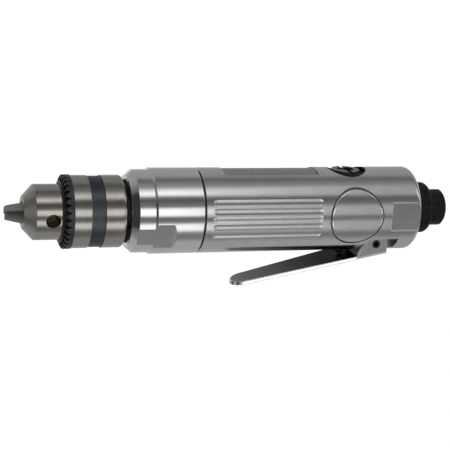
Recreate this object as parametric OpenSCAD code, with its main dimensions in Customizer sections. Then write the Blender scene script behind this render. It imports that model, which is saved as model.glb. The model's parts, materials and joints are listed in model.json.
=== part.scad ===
// Straight air drill with a keyed chuck.
// The tool axis is X: the chuck points to -X, the air inlet to +X, and the throttle lever hangs towards -Z.
// The origin is on the tool axis, at the mouth of the air inlet. All lengths are in millimetres.

/* [Overall] */
// Outer diameter of the motor housing
body_d = 40; // [39.5:0.1:41]
// Length of the motor housing, from the seam to the rear face
housing_len = 108.7; // [108:0.1:116]
// Length of the gear case, from its front face to the seam
case_len = 33; // [32.6:0.1:36]
// Length of the exhaust collar
collar_len = 9.8; // [8.5:0.1:13]
// Diameter of the exhaust collar
collar_d = 24.8; // [24:0.1:26]
// Length of the inlet nipple behind the collar
nipple_len = 7.9; // [6:0.1:10]
// Diameter of the inlet nipple
nipple_d = 17.6; // [17:0.1:20]

/* [Motor housing] */
// Wall of the housing round the motor
housing_wall = 4.4; // [4.2:0.05:4.6]
// Radius of the rounded rear edge
rear_edge_r = 3.2; // [2:0.1:4]
// Distance from the seam to the front end of the flutes
flute_setback = 4.1; // [3:0.1:5]
// Length of the flutes
flute_len = 53.6; // [45:0.1:56]
// Number of flutes on each side
flute_count = 5; // [3:1:6]
// Angle between neighbouring flutes
flute_step = 11; // [10.5:0.1:12]
// Depth of a flute
flute_depth = 0.32; // [0.25:0.01:0.4]
// Radius of the round bottom of a flute
flute_r = 5.5; // [5:0.1:7]
// Distance from the seam to the label recess
label_setback = 12; // [10:0.5:16]
// Length of the label recess
label_len = 46.5; // [40:0.5:50]
// Width of the label recess
label_w = 16.6; // [12:0.2:18]
// Depth of the label recess
label_depth = 0.5; // [0.2:0.05:0.8]
// Diameter of the round pad on each side
pad_d = 26; // [22:0.5:27]
// Height of the round pad above the housing
pad_h = 0.4; // [0.2:0.05:0.6]
// Length of the wrench flats at the rear
rear_flat_len = 16.1; // [12:0.1:17]
// Depth of a rear wrench flat below the round of the housing
rear_flat_depth = 1.2; // [0.6:0.1:1.6]
// Depth of the flat under the housing below the round
under_flat_depth = 1.2; // [1.1:0.05:1.4]
// Radius of the cutter run-out at the front of that flat
runout_r = 12; // [8:0.5:16]

/* [Gear case] */
// Depth of the step at the front of the gear case
case_step = 0.7; // [0.4:0.05:1]
// Length of the stepped-down front, chamfer included
case_front_len = 10.5; // [9:0.1:12]
// Length of the front chamfer
case_chamfer = 3; // [2:0.1:4]
// Depth of the front chamfer
case_chamfer_drop = 2.8; // [2:0.1:3]
// Depth of the recess in the front face
case_recess = 2.5; // [2:0.1:3]
// Length of the threaded spigot inside the housing
spigot_len = 8; // [7:0.1:9]
// Wall of the threaded spigot
spigot_wall = 2.3; // [2.1:0.05:2.5]
// Length of the wrench flats on the gear case
case_flat_len = 20.5; // [14:0.5:24]
// Depth of a gear case wrench flat below the round
case_flat_depth = 1.25; // [1:0.05:1.7]
// Turn of the gear case wrench flats below level
case_flat_tilt = 26; // [0:1:45]

/* [Chuck] */
// Gap between the chuck and the gear case
chuck_gap = 1.4; // [1:0.1:3]
// Length of the chuck, from its nose face to its rear face
chuck_len = 45.9; // [45.5:0.1:48]
// Diameter of the chuck sleeve at the toothed ring
sleeve_d = 33.9; // [33.5:0.1:35]
// Diameter of the sleeve behind the toothed ring
sleeve_rear_d = 33.4; // [33:0.1:34]
// Distance from the nose face to the front of the sleeve
sleeve_setback = 16.3; // [16:0.1:17]
// Length of the toothed ring
tooth_ring_len = 5; // [4:0.1:6]
// Distance from the nose face to the dark band
band_setback = 29; // [27:0.1:30]
// Length of the dark band
band_len = 6.5; // [4:0.1:8]
// Depth of the dark band
band_depth = 0.4; // [0.2:0.05:0.5]
// Number of key teeth
tooth_count = 32; // [24:1:36]
// Depth of a key tooth
tooth_depth = 2.8; // [2:0.1:3]
// Diameter of the nose
nose_d = 25.5; // [25.2:0.05:25.8]
// Diameter of the nose face
nose_face_d = 15; // [13:0.1:17]
// Length of the nose cone
nose_cone_len = 4.9; // [3:0.1:6]
// Distance from the nose face to the key holes
key_setback = 12.4; // [11.5:0.1:12.8]
// Diameter of a key hole
key_d = 6; // [5:0.1:6.2]
// How far the closed jaws stand out of the nose
jaw_out = 7.7; // [6:0.1:8]
// Diameter of a jaw
jaw_d = 6; // [5.6:0.05:6.1]
// Angle of a jaw to the tool axis
jaw_angle = 13; // [12.6:0.1:13.2]
// Length of a jaw
jaw_len = 31.3; // [31:0.1:31.6]
// Largest drill that the chuck takes
grip_d = 9.5; // [6:0.1:9.6]
// Diameter of the spindle thread in the chuck
thread_d = 9.5; // [8:0.1:10]

/* [Gear train] */
// Wall of the ring gear behind its teeth
ring_wall = 1.764; // [1.5:0.002:2.2]
// Teeth of the sun pinion
sun_teeth = 15; // [15]
// Teeth of a planet gear
planet_teeth = 18; // [18]
// Face width of a planet gear
planet_w = 9.5; // [8:0.1:10]
// Diameter of a planet pin
planet_pin_d = 4; // [3:0.1:4.4]
// Thickness of the planet carrier
carrier_t = 5; // [4:0.1:5.5]
// Outer diameter of the spindle bearing
spindle_bearing_d = 28; // [27:0.1:29]
// Height of the spindle bearing from its bore to its outside
spindle_bearing_h = 8; // [7.4:0.1:8.4]
// Width of the spindle bearing
spindle_bearing_w = 8; // [7:0.1:9]
// Diameter of a ball in the spindle bearing
spindle_ball_d = 4.64; // [4:0.02:5]

/* [Air motor] */
// Wall of the rotor cylinder at its thinnest
cylinder_wall = 2.07; // [1.9:0.01:2.5]
// Offset of the cylinder bore from the tool axis
eccentricity = 1.4; // [1:0.05:1.5]
// Number of vanes
vane_count = 5; // [4:1:6]
// Thickness of a vane
vane_t = 1.5; // [1.2:0.05:2]
// Thickness of an end plate
plate_t = 8.2; // [8:0.05:9]
// Bore of a rotor bearing
rotor_bearing_bore = 9; // [8.8:0.1:9.4]
// Diameter of a ball in a rotor bearing
rotor_ball_d = 4.35; // [4:0.05:4.6]
// Width of a rotor bearing
rotor_bearing_w = 7; // [6:0.1:7.2]
// Diameter of the cylinder dowel
dowel_d = 2.4; // [1.6:0.1:2.6]

/* [Throttle] */
// Distance from the rear face to the valve axis
valve_setback = 33.9; // [33.5:0.1:35]
// Diameter of the valve stem
stem_d = 5; // [4:0.1:6]
// Diameter of the valve plug
plug_d = 18.4; // [17:0.1:19]
// Wall between the motor and the valve plug
valve_wall = 9.2; // [8:0.1:10]
// Distance from the rear face to the lever pin
pin_setback = 19.2; // [19:0.1:20]
// Distance of the lever pin inside the round of the housing
pin_inset = 4.6; // [4.4:0.1:4.8]
// Diameter of the lever pin
pin_d = 4; // [3:0.1:4.4]
// Sheet thickness of the lever
lever_sheet = 1.8; // [1.2:0.1:2]
// Distance from the lever pin to the tip of the lever
lever_reach = 69.5; // [60:0.5:72]
// Angle of the released lever to the tool axis
lever_angle = 12.4; // [11.5:0.1:13]
// Width of the lever at its tip
lever_tip_w = 14; // [12:0.2:18]
// Width of the housing lug between the lever ears
lug_w = 18; // [17:0.2:19]

/* [Air inlet] */
// Diameter of the inlet thread
inlet_d = 11.4; // [10.8:0.1:11.8]
// Length of the inlet thread
inlet_len = 12; // [10:0.1:13]
// Diameter of the bushing shank
shank_d = 13.8; // [13.6:0.1:14.4]
// Diameter of the air passage
passage_d = 8; // [6:0.1:8.4]

/* [Hidden] */
$fn = 64;

// Clearances: a seated piece, a running shaft, and two pieces that move past each other
seat_gap = 0.03;
run_gap = 0.06;
free_gap = 0.3;
// Overrun of every cut
cut = 1;

// Stations along the tool axis, from the inlet mouth forwards
x_nipple = -nipple_len;
x_rear = x_nipple - collar_len;
x_seam = x_rear - housing_len;
x_case = x_seam - case_len;
x_chuck = x_case - chuck_gap;
x_nose = x_chuck - chuck_len;
x_jaw = x_nose - jaw_out;
x_valve = x_rear - valve_setback;
x_pin = x_rear - pin_setback;
body_r = body_d / 2;
motor_r = body_r - housing_wall;
seam_chamfer = 0.5;
flute_reach = sqrt(flute_r * flute_r - pow(flute_r - flute_depth, 2));
rear_flat_reach = body_r - rear_flat_depth;

// Motor stack, seated on the rear end of the gear case spigot
x_spigot = x_seam + spigot_len;
x_cylinder = x_spigot + plate_t;
x_stack_end = x_valve - plug_d / 2 - valve_wall;
x_rear_plate = x_stack_end - plate_t;
cylinder_len = x_rear_plate - x_cylinder;
stack_r = motor_r - seat_gap;
cylinder_bore_r = stack_r - eccentricity - cylinder_wall;
rotor_r = cylinder_bore_r - eccentricity - free_gap;
rotor_shaft_r = rotor_bearing_bore / 2 - seat_gap;
bearing_hole_share = 0.77;
rotor_bearing_r = stack_r * bearing_hole_share;
port_share = 0.84;
port_r = port_share * (stack_r - rotor_bearing_r) / 2;
port_pitch_r = (stack_r + rotor_bearing_r) / 2;
vane_slot_share = 0.6;
vane_floor = rotor_r * vane_slot_share;
shaft_end_gap = 3;

// Front end of the gear case
washer_t = 1.4;
snap_t = 1.2;
snap_depth = 0.6;
snap_w = 2.4;
snap_opening = 6;
bearing_seat_r = spindle_bearing_d / 2 + seat_gap;
recess_r = bearing_seat_r + snap_depth;
case_rim = 1;
case_front_r = body_r - case_step;
case_face_r = max(case_front_r - case_chamfer_drop, recess_r + case_rim);
case_flat_reach = body_r - case_flat_depth;
spigot_r = motor_r + spigot_wall;
x_snap = x_case + case_recess + snap_t / 2;
x_bearing = x_snap + snap_t + seat_gap;
x_bearing_end = x_bearing + spindle_bearing_w;
shoulder_t = 2;
shoulder_share = 0.87;

// Gear train
ring_teeth = sun_teeth + 2 * planet_teeth;
pressure_angle = 20;
addendum_share = 0.8;
dedendum_share = 1.05;
backlash_share = 0.12;
gear_module = (stack_r - ring_wall) / (ring_teeth / 2 + dedendum_share);
orbit_r = gear_module * (sun_teeth + planet_teeth) / 2;
planet_count = 3;
gear_side_gap = 0.4;
ring_overhang = 3.5;
ring_w = planet_w + 5 * gear_side_gap + ring_overhang;
x_ring = x_spigot - ring_w;
x_carrier_end = x_ring - gear_side_gap;
x_carrier = x_carrier_end - carrier_t;
x_planet = x_carrier_end + 2 * gear_side_gap;
x_planet_end = x_planet + planet_w;
x_sun = x_carrier_end + gear_side_gap;
x_sun_end = x_planet_end + gear_side_gap;
ring_seat_step = 1;
carrier_r = orbit_r + planet_pin_d / 2 + shoulder_t;
spindle_r = spindle_bearing_d / 2 - spindle_bearing_h;
spindle_collar_r = spindle_r + shoulder_t;

// Bearings: thickness of a ring, as a share of the height from bore to outside
race_share = 0.32;
spindle_balls = 9;
rotor_balls = 9;

// Chuck
sleeve_r = sleeve_d / 2;
sleeve_rear_r = sleeve_rear_d / 2;
nose_r = nose_d / 2;
sleeve_wall = 1.45;
sleeve_bore_r = sleeve_r - sleeve_wall;
sleeve_lip_r = nose_r + free_gap;
sleeve_lip_t = 0.9;
sleeve_end_lip = 1;
sleeve_end_gap = 0.6;
sleeve_edge_r = 1.5;
ring_bevel = 1.8;
nut_wall = 3;
nut_len = 4.6;
nut_slit = 0.2;
x_sleeve = x_nose + sleeve_setback;
x_waist = x_sleeve + sleeve_lip_t;
x_nut = x_waist + free_gap;
x_nut_end = x_nut + nut_len;
x_waist_end = x_nut_end + free_gap;
x_sleeve_end = x_chuck - sleeve_end_gap;
x_band = x_nose + band_setback;
chuck_body_r = sleeve_bore_r - 3 * free_gap;
jaw_r = jaw_d / 2;
jaw_tip_offset = 0.31;
jaw_slope = tan(jaw_angle);
jaw_travel = grip_d / 2 / sin(jaw_angle);
jaw_bore_r = jaw_r + run_gap;
jaw_half_gap = free_gap / 2;
jaw_clock = 36.5;
key_clock = jaw_clock + 60;
bit_bore_r = grip_d / 2 + free_gap;
thread_r = thread_d / 2;
thread_len = 13.6;
web_t = 2.5;
x_thread = x_chuck - thread_len;
x_bit_bore_end = x_thread - web_t;
waist_r = jaw_outer(x_waist) - free_gap;
nut_r = jaw_outer(x_nut_end) + free_gap + nut_wall;
key_floor_share = 0.44;

// Throttle
z_flat = under_flat_depth - body_r;
chamber_r = 7;
chamber_floor = -9;
chamber_roof = 8;
plug_r = plug_d / 2;
plug_top_share = 0.98;
plug_rim_share = 0.89;
plug_crown_share = 0.74;
plug_slot_w = 2;
plug_slot_depth = 1.4;
spring_pocket = 4;
spring_r = 3.2;
spring_wire_r = 0.5;
spring_turns = 6;
spring_steps = 12;
spring_sides = 6;
bushing_r = stem_d / 2 + 2;
stem_r = stem_d / 2;
seat_floor_r = 4.2;
head_r = 5.4;
head_t = 1.5;
seal_t = 1.6;
seat_z = -6.8;
head_z = seat_z + seal_t;
guide_pin_r = 1.5;
guide_pin_len = 5;
o_ring_r = 0.8;
valve_play = 0.25;
valve_passage_r = 2;

// Lever, in side view
z_pin = pin_inset - body_r;
pin_r = pin_d / 2;
pin_bore_share = 0.55;
ear_gap = 0.4;
ear_tail = 5.8;
ear_rise = 2.8;
ear_front = 2.9;
ear_foot = 9;
ear_arc_r = 13.6;
lug_half = lug_w / 2;
lever_half = lug_half + ear_gap + lever_sheet;
lever_top_drop = 3.88;
lever_tail_angle = 10.5;
x_lever_tail = x_pin + ear_tail;
x_lever_bend = x_pin - ear_foot;
x_lever_tip = x_pin - lever_reach;
tip_r = lever_tip_w / 2;
x_tip_centre = x_lever_tip + tip_r;
z_lever_bend = z_pin - lever_top_drop / cos(lever_angle) - ear_foot * tan(lever_angle);
z_lever_tip = z_lever_bend - (x_lever_bend - x_lever_tip) * tan(lever_angle);
z_lever_tail = z_lever_bend + (x_lever_tail - x_lever_bend) * tan(lever_tail_angle);
z_stem_tip = z_pin - lever_top_drop / cos(lever_angle) - (x_pin - x_valve) * tan(lever_angle) + valve_play;
ear_top = [x_pin - ear_front, z_pin + ear_rise];
ear_low = [x_lever_bend, z_lever_bend];
ear_chord = ear_top - ear_low;
ear_centre = (ear_top + ear_low) / 2 + sqrt(pow(ear_arc_r, 2) - pow(norm(ear_chord) / 2, 2))
    * [ear_chord[1], -ear_chord[0]] / norm(ear_chord);

// Room for the lever under the housing
pocket_rise = 3.8;
pocket_gap = 1.9;
pocket_tail = 9;
pocket_roof = z_pin + pocket_rise;
flat_lead = 3;
x_flat = x_lever_tip - flat_lead;
x_flat_end = x_pin + pocket_tail;
heel = 1.5;
x_heel = x_pin + heel;
z_heel_end = z_flat + (x_flat_end - x_heel) * tan(lever_tail_angle);

// Exhaust collar and inlet
collar_r = collar_d / 2;
collar_wall = 1.2;
collar_edge_r = 2.5;
deflector_slots = 3;
deflector_slot_w = 2;
deflector_slot_step = 24;
nipple_r = nipple_d / 2;
nipple_chamfer = 0.8;
inlet_r = inlet_d / 2;
shank_r = shank_d / 2;
shank_grip = 10;
passage_r = passage_d / 2;
screen_t = 1;
screen_r = (inlet_r + passage_r) / 2;
screen_hole_r = 0.9;
screen_ring_share = 0.6;
felt_gap = 0.3;
exhaust_r = 1.5;
exhaust_pitch_r = (shank_r + collar_r - collar_wall) / 2;

// Outer radius of a closed jaw at a station
function jaw_outer(x) = jaw_tip_offset + (x - x_jaw) * jaw_slope + jaw_r / cos(jaw_angle);

// Points of a rounded corner, as [station, radius]
function corner(x, r, edge, a0, a1, steps = 6) =
    [for (i = [0 : steps]) let (a = a0 + (a1 - a0) * i / steps) [x + edge * cos(a), r + edge * sin(a)]];

// Involute tooth: half its angle at a radius, and the points of one tooth
function involute(a) = tan(a) * 180 / PI - a;
function base_r(teeth) = gear_module * teeth / 2 * cos(pressure_angle);
function tooth_half(teeth, r, thin) = 90 / teeth + involute(pressure_angle)
    - (r > base_r(teeth) ? involute(acos(base_r(teeth) / r)) : 0)
    - thin * gear_module / 2 / (gear_module * teeth / 2) * 180 / PI;
function tooth_points(teeth, root, tip, thin, steps = 5) = concat(
    [for (i = [0 : steps]) let (r = root + (tip - root) * i / steps) [r, -tooth_half(teeth, r, thin)]],
    [for (i = [steps : -1 : 0]) let (r = root + (tip - root) * i / steps) [r, tooth_half(teeth, r, thin)]]);

// Round bar along the tool axis
module rod(x0, x1, r) {
    translate([x0, 0, 0]) rotate([0, 90, 0]) cylinder(h = x1 - x0, r = r);
}

// Outline of [station, radius] points turned about the tool axis
module turned(outline) {
    rotate([0, 90, 0]) rotate_extrude() polygon([for (p = outline) [p[1], p[0]]]);
}

// Copies round the tool axis, the first one turned from +Z towards -Y
module around(count, first = 0) {
    for (k = [0 : count - 1]) rotate([first + 360 * k / count, 0, 0]) children();
}

// Side view outline, given a width from y0 to y1
module side(y0, y1) {
    translate([0, y1, 0]) rotate([90, 0, 0]) linear_extrude(height = y1 - y0) children();
}

// Round bar along the valve axis
module post(z0, z1, r) {
    translate([x_valve, 0, z0]) cylinder(h = z1 - z0, r = r);
}

// Round hole drilled from one point to another
module drilled(p, q, r) {
    d = q - p;
    translate(p) rotate([0, acos(d[2] / norm(d)), atan2(d[1], d[0])]) cylinder(h = norm(d), r = r);
}

// Sealing ring about the tool axis
module o_ring(x, ring_r, wire_r) {
    translate([x, 0, 0]) rotate([0, 90, 0]) rotate_extrude() translate([ring_r, 0]) circle(r = wire_r);
}

// Sealing ring about the valve axis
module valve_o_ring(z, ring_r, wire_r) {
    translate([x_valve, 0, z]) rotate_extrude() translate([ring_r, 0]) circle(r = wire_r);
}

// Gear outline with a tooth centred on +Z once it stands on the tool axis
module gear_outline(teeth, root, tip, thin) {
    polygon([for (k = [0 : teeth - 1]) for (p = tooth_points(teeth, root, tip, thin))
        p[0] * [-cos(p[1] + 360 * k / teeth), sin(p[1] + 360 * k / teeth)]]);
}

module gear(x0, x1, teeth) {
    pitch_r = gear_module * teeth / 2;
    translate([x0, 0, 0]) rotate([0, 90, 0]) linear_extrude(height = x1 - x0)
        gear_outline(teeth, pitch_r - dedendum_share * gear_module,
            pitch_r + addendum_share * gear_module, backlash_share);
}

// Ball bearing, one ring or the balls at a time
module race_groove(x, w, r_in, r_out, ball_d) {
    o_ring(x + w / 2, (r_in + r_out) / 2, ball_d / 2 + run_gap);
}

module bearing_outer(x, w, r_in, r_out, ball_d) {
    color("silver") difference() {
        rod(x, x + w, r_out);
        rod(x - cut, x + w + cut, r_out - race_share * (r_out - r_in));
        race_groove(x, w, r_in, r_out, ball_d);
    }
}

module bearing_inner(x, w, r_in, r_out, ball_d) {
    color("silver") difference() {
        rod(x, x + w, r_in + race_share * (r_out - r_in));
        rod(x - cut, x + w + cut, r_in);
        race_groove(x, w, r_in, r_out, ball_d);
    }
}

module bearing_balls(x, w, r_in, r_out, ball_d, count) {
    color("lightgray") around(count)
        translate([x + w / 2, 0, (r_in + r_out) / 2]) sphere(r = ball_d / 2);
}

// Motor housing
module flutes() {
    for (side_turn = [90, 270], k = [0 : flute_count - 1])
        rotate([side_turn + (k - (flute_count - 1) / 2) * flute_step, 0, 0])
            translate([x_seam + flute_setback + flute_reach, 0, body_r - flute_depth + flute_r]) {
                rotate([0, 90, 0]) cylinder(h = flute_len - 2 * flute_reach, r = flute_r);
                sphere(r = flute_r);
                translate([flute_len - 2 * flute_reach, 0, 0]) sphere(r = flute_r);
            }
}

module side_pads() {
    intersection() {
        rod(x_valve - pad_d, x_valve + pad_d, body_r + pad_h);
        translate([x_valve, body_d, 0]) rotate([90, 0, 0]) cylinder(h = 2 * body_d, r = pad_d / 2);
    }
}

module label_recess() {
    difference() {
        translate([x_seam + label_setback, -label_w / 2, 0]) cube([label_len, label_w, body_d]);
        rod(x_seam, x_rear, body_r - label_depth);
    }
}

module under_flat() {
    side(-body_d, body_d) {
        polygon([[x_flat, z_flat], [x_heel, z_flat], [x_flat_end, z_heel_end],
            [x_flat_end, -body_d], [x_flat, -body_d]]);
        translate([x_flat, z_flat - runout_r]) circle(r = runout_r);
    }
}

module lever_pockets() {
    for (s = [0, 1]) mirror([0, s, 0]) side(lug_half, body_d) intersection() {
        translate([x_flat_end - body_d, pocket_roof - body_d]) square(body_d);
        translate(ear_centre) circle(r = ear_arc_r + pocket_gap);
    }
}

module rear_flats() {
    for (s = [0, 1]) mirror([0, s, 0])
        translate([x_rear - rear_flat_len, rear_flat_reach, -body_d])
            cube([rear_flat_len + cut, body_d, 2 * body_d]);
}

module valve_cavity() {
    post(z_flat - cut, chamber_floor, bushing_r + seat_gap);
    post(chamber_floor - cut, seat_z, seat_floor_r);
    post(seat_z, chamber_roof + cut, chamber_r);
    post(chamber_roof, body_d, plug_r + seat_gap);
}

module air_passages() {
    rod(x_valve, x_rear, passage_r / 2);
    rod(x_rear - shank_grip, x_rear + cut, shank_r + seat_gap);
    drilled([x_valve, 0, (chamber_floor + seat_z) / 2], [x_stack_end - cut, 0, -port_pitch_r],
        valve_passage_r);
    for (s = [-1, 1])
        drilled([x_stack_end - cut, s * port_pitch_r, 0], [x_rear + cut, s * exhaust_pitch_r, 0], exhaust_r);
}

module motor_bore() {
    rod(x_seam - cut, x_spigot, spigot_r + seat_gap);
    rod(x_seam, x_stack_end + seat_gap, motor_r);
    rod(x_seam, x_stack_end + shaft_end_gap, rotor_shaft_r + 2 * free_gap);
}

module motor_housing() {
    color([0.78, 0.79, 0.79]) difference() {
        union() {
            turned(concat([[x_seam, 0], [x_seam, body_r - seam_chamfer], [x_seam + seam_chamfer, body_r]],
                corner(x_rear - rear_edge_r, body_r - rear_edge_r, rear_edge_r, 90, 0), [[x_rear, 0]]));
            side_pads();
        }
        flutes();
        label_recess();
        under_flat();
        lever_pockets();
        rear_flats();
        valve_cavity();
        air_passages();
        motor_bore();
        translate([x_pin, body_d, z_pin]) rotate([90, 0, 0]) cylinder(h = 2 * body_d, r = pin_r + seat_gap);
    }
}

// Gear case
module case_flats() {
    for (s = [0, 180]) rotate([90 + case_flat_tilt + s, 0, 0])
        translate([x_case - cut, -body_d, case_flat_reach])
            cube([case_flat_len + cut, 2 * body_d, body_d]);
}

module gear_case() {
    color([0.86, 0.87, 0.88]) difference() {
        union() {
            turned([[x_case, 0], [x_case, case_face_r], [x_case + case_chamfer, case_front_r],
                [x_case + case_front_len, case_front_r],
                [x_case + case_front_len + seam_chamfer, body_r],
                [x_seam - seam_chamfer, body_r], [x_seam, body_r - seam_chamfer], [x_seam, 0]]);
            rod(x_seam - cut, x_spigot - seat_gap, spigot_r);
        }
        case_flats();
        rod(x_case - cut, x_case + case_recess, recess_r);
        rod(x_case, x_bearing_end + seat_gap, bearing_seat_r);
        rod(x_snap, x_snap + snap_t + seat_gap, bearing_seat_r + snap_depth);
        rod(x_case, x_seam, bearing_seat_r * shoulder_share);
        rod(x_bearing_end + shoulder_t, x_seam, motor_r - ring_seat_step);
        rod(x_ring - seat_gap, x_spigot + cut, motor_r);
    }
}

module dust_washer() {
    color([0.08, 0.08, 0.08]) difference() {
        rod(x_case + case_recess - washer_t, x_case + case_recess - seat_gap, recess_r - seat_gap);
        rod(x_case - cut, x_snap, spindle_collar_r + free_gap);
    }
}

module snap_ring() {
    color([0.2, 0.2, 0.21]) difference() {
        rod(x_snap + seat_gap, x_snap + snap_t, bearing_seat_r + snap_depth - seat_gap);
        rod(x_snap - cut, x_snap + snap_t + cut, bearing_seat_r + snap_depth - snap_w);
        translate([x_snap - cut, -snap_opening / 2, 0])
            cube([snap_t + 2 * cut, snap_opening, body_r]);
    }
}

module spindle_bearing_outer() {
    bearing_outer(x_bearing, spindle_bearing_w, spindle_r, spindle_bearing_d / 2, spindle_ball_d);
}

module spindle_bearing_inner() {
    bearing_inner(x_bearing, spindle_bearing_w, spindle_r, spindle_bearing_d / 2, spindle_ball_d);
}

module spindle_bearing_balls() {
    bearing_balls(x_bearing, spindle_bearing_w, spindle_r, spindle_bearing_d / 2, spindle_ball_d,
        spindle_balls);
}

// Spindle and planet gears
module planet_place(k) {
    rotate([360 * k / planet_count, 0, 0]) translate([0, 0, orbit_r]) children();
}

module spindle() {
    color([0.35, 0.35, 0.36]) difference() {
        union() {
            rod(x_thread + seat_gap, x_chuck + cut, thread_r);
            rod(x_chuck + seat_gap, x_bearing - seat_gap, spindle_collar_r);
            rod(x_chuck, x_bearing_end + cut, spindle_r - seat_gap);
            rod(x_bearing_end + seat_gap, x_carrier + cut, spindle_collar_r);
            rod(x_carrier, x_carrier_end, carrier_r);
        }
        for (k = [0 : planet_count - 1]) planet_place(k)
            rod(x_carrier - cut, x_carrier_end + cut, planet_pin_d / 2 + seat_gap);
    }
}

module planet_pins() {
    color([0.7, 0.7, 0.72]) for (k = [0 : planet_count - 1]) planet_place(k)
        rod(x_carrier, x_planet_end + gear_side_gap, planet_pin_d / 2);
}

module planet_gear(k) {
    color([0.45, 0.45, 0.47]) planet_place(k) difference() {
        gear(x_planet, x_planet_end, planet_teeth);
        rod(x_planet - cut, x_planet_end + cut, planet_pin_d / 2 + run_gap);
    }
}

module ring_gear() {
    pitch_r = gear_module * ring_teeth / 2;
    color([0.4, 0.4, 0.42]) difference() {
        rod(x_ring, x_spigot - seat_gap, stack_r);
        translate([x_ring - cut, 0, 0]) rotate([0, 90, 0]) linear_extrude(height = ring_w + 2 * cut)
            gear_outline(ring_teeth, pitch_r - addendum_share * gear_module,
                pitch_r + dedendum_share * gear_module, -backlash_share);
    }
}

// Chuck
module jaw_line() {
    translate([x_jaw, 0, jaw_tip_offset]) rotate([0, 90 - jaw_angle, 0]) children();
}

module chuck_body() {
    color([0.72, 0.71, 0.69]) difference() {
        turned([[x_nose, 0], [x_nose, nose_face_d / 2], [x_nose + nose_cone_len, nose_r],
            [x_waist, nose_r], [x_waist, waist_r], [x_waist_end, waist_r],
            [x_waist_end, chuck_body_r], [x_chuck, chuck_body_r], [x_chuck, 0]]);
        rod(x_nose - cut, x_bit_bore_end, bit_bore_r);
        rod(x_thread, x_chuck + cut, thread_r + seat_gap);
        around(3, jaw_clock) jaw_line() cylinder(h = jaw_len + jaw_travel + free_gap, r = jaw_bore_r);
        around(3, key_clock) translate([x_nose + key_setback, 0, key_floor_share * nose_r])
            cylinder(h = nose_r, r = key_d / 2);
    }
}

module key_notch() {
    width = 2 * PI * sleeve_r / tooth_count;
    translate([x_sleeve, 0, nut_r + sleeve_wall / 2]) linear_extrude(height = sleeve_r)
        polygon([[-cut, -width / 2], [-cut, width / 2], [0, width / 2],
            [tooth_depth + ring_bevel / 2, 0], [0, -width / 2]]);
}

module chuck_sleeve() {
    color([0.6, 0.6, 0.58]) difference() {
        turned(concat([[x_sleeve, sleeve_lip_r], [x_sleeve + ring_bevel, sleeve_r],
            [x_sleeve + tooth_ring_len, sleeve_r], [x_sleeve + tooth_ring_len, sleeve_rear_r],
            [x_band, sleeve_rear_r], [x_band, sleeve_rear_r - band_depth],
            [x_band + band_len, sleeve_rear_r - band_depth], [x_band + band_len, sleeve_rear_r]],
            corner(x_sleeve_end - sleeve_edge_r, sleeve_rear_r - sleeve_edge_r, sleeve_edge_r, 90, 0),
            [[x_sleeve_end, chuck_body_r + free_gap],
            [x_sleeve_end - sleeve_end_lip, chuck_body_r + free_gap],
            [x_sleeve_end - sleeve_end_lip, sleeve_bore_r], [x_waist_end, sleeve_bore_r],
            [x_waist_end, nut_r + seat_gap], [x_waist, nut_r + seat_gap], [x_waist, sleeve_lip_r]]));
        around(tooth_count) key_notch();
    }
}

module chuck_nut() {
    color([0.5, 0.48, 0.42]) difference() {
        turned([[x_nut, jaw_outer(x_nut) + free_gap], [x_nut, nut_r], [x_nut_end, nut_r],
            [x_nut_end, jaw_outer(x_nut_end) + free_gap]]);
        translate([x_nut - cut, -nut_slit / 2, -body_r]) cube([nut_len + 2 * cut, nut_slit, body_d]);
    }
}

module chuck_jaw(k) {
    color([0.62, 0.61, 0.58]) rotate([jaw_clock + 120 * k, 0, 0]) intersection() {
        jaw_line() translate([0, 0, -jaw_r]) cylinder(h = jaw_len + jaw_r, r = jaw_r);
        translate([x_jaw, 0, 0]) rotate([0, 90, 0]) linear_extrude(height = chuck_len)
            polygon([[-jaw_half_gap / sin(60), 0], [-body_r, -body_r * tan(60)],
                [-body_r, body_r * tan(60)]]);
    }
}

// Air motor
module stack_dowel_hole() {
    translate([0, 0, port_pitch_r]) rod(x_spigot + cut, x_stack_end - cut, dowel_d / 2 + seat_gap);
}

module front_end_plate() {
    color([0.55, 0.55, 0.56]) difference() {
        rod(x_spigot, x_cylinder - seat_gap, stack_r);
        rod(x_spigot - cut, x_spigot + rotor_bearing_w + seat_gap, rotor_bearing_r + seat_gap);
        rod(x_spigot, x_cylinder + cut, rotor_shaft_r + 2 * free_gap);
        stack_dowel_hole();
    }
}

module rear_end_plate() {
    color([0.55, 0.55, 0.56]) difference() {
        rod(x_rear_plate, x_stack_end, stack_r);
        rod(x_stack_end - rotor_bearing_w - seat_gap, x_stack_end + cut, rotor_bearing_r + seat_gap);
        rod(x_rear_plate - cut, x_stack_end, rotor_shaft_r + 2 * free_gap);
        stack_dowel_hole();
        for (a = [90, 180, 270]) rotate([a, 0, 0]) translate([0, 0, port_pitch_r])
            rod(x_rear_plate - cut, x_stack_end + cut, port_r);
    }
}

module rotor_cylinder() {
    color([0.5, 0.5, 0.51]) difference() {
        rod(x_cylinder, x_rear_plate - seat_gap, stack_r);
        translate([0, 0, -eccentricity]) rod(x_cylinder - cut, x_rear_plate + cut, cylinder_bore_r);
        stack_dowel_hole();
    }
}

module cylinder_dowel() {
    color([0.7, 0.7, 0.72]) translate([0, 0, port_pitch_r])
        rod(x_spigot + cut + seat_gap, x_stack_end - cut - seat_gap, dowel_d / 2);
}

module vane_slots(t, floor_r, top_r, end_gap) {
    around(vane_count) translate([x_cylinder + end_gap, -t / 2, floor_r])
        cube([cylinder_len - 2 * end_gap, t, top_r - floor_r]);
}

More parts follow.
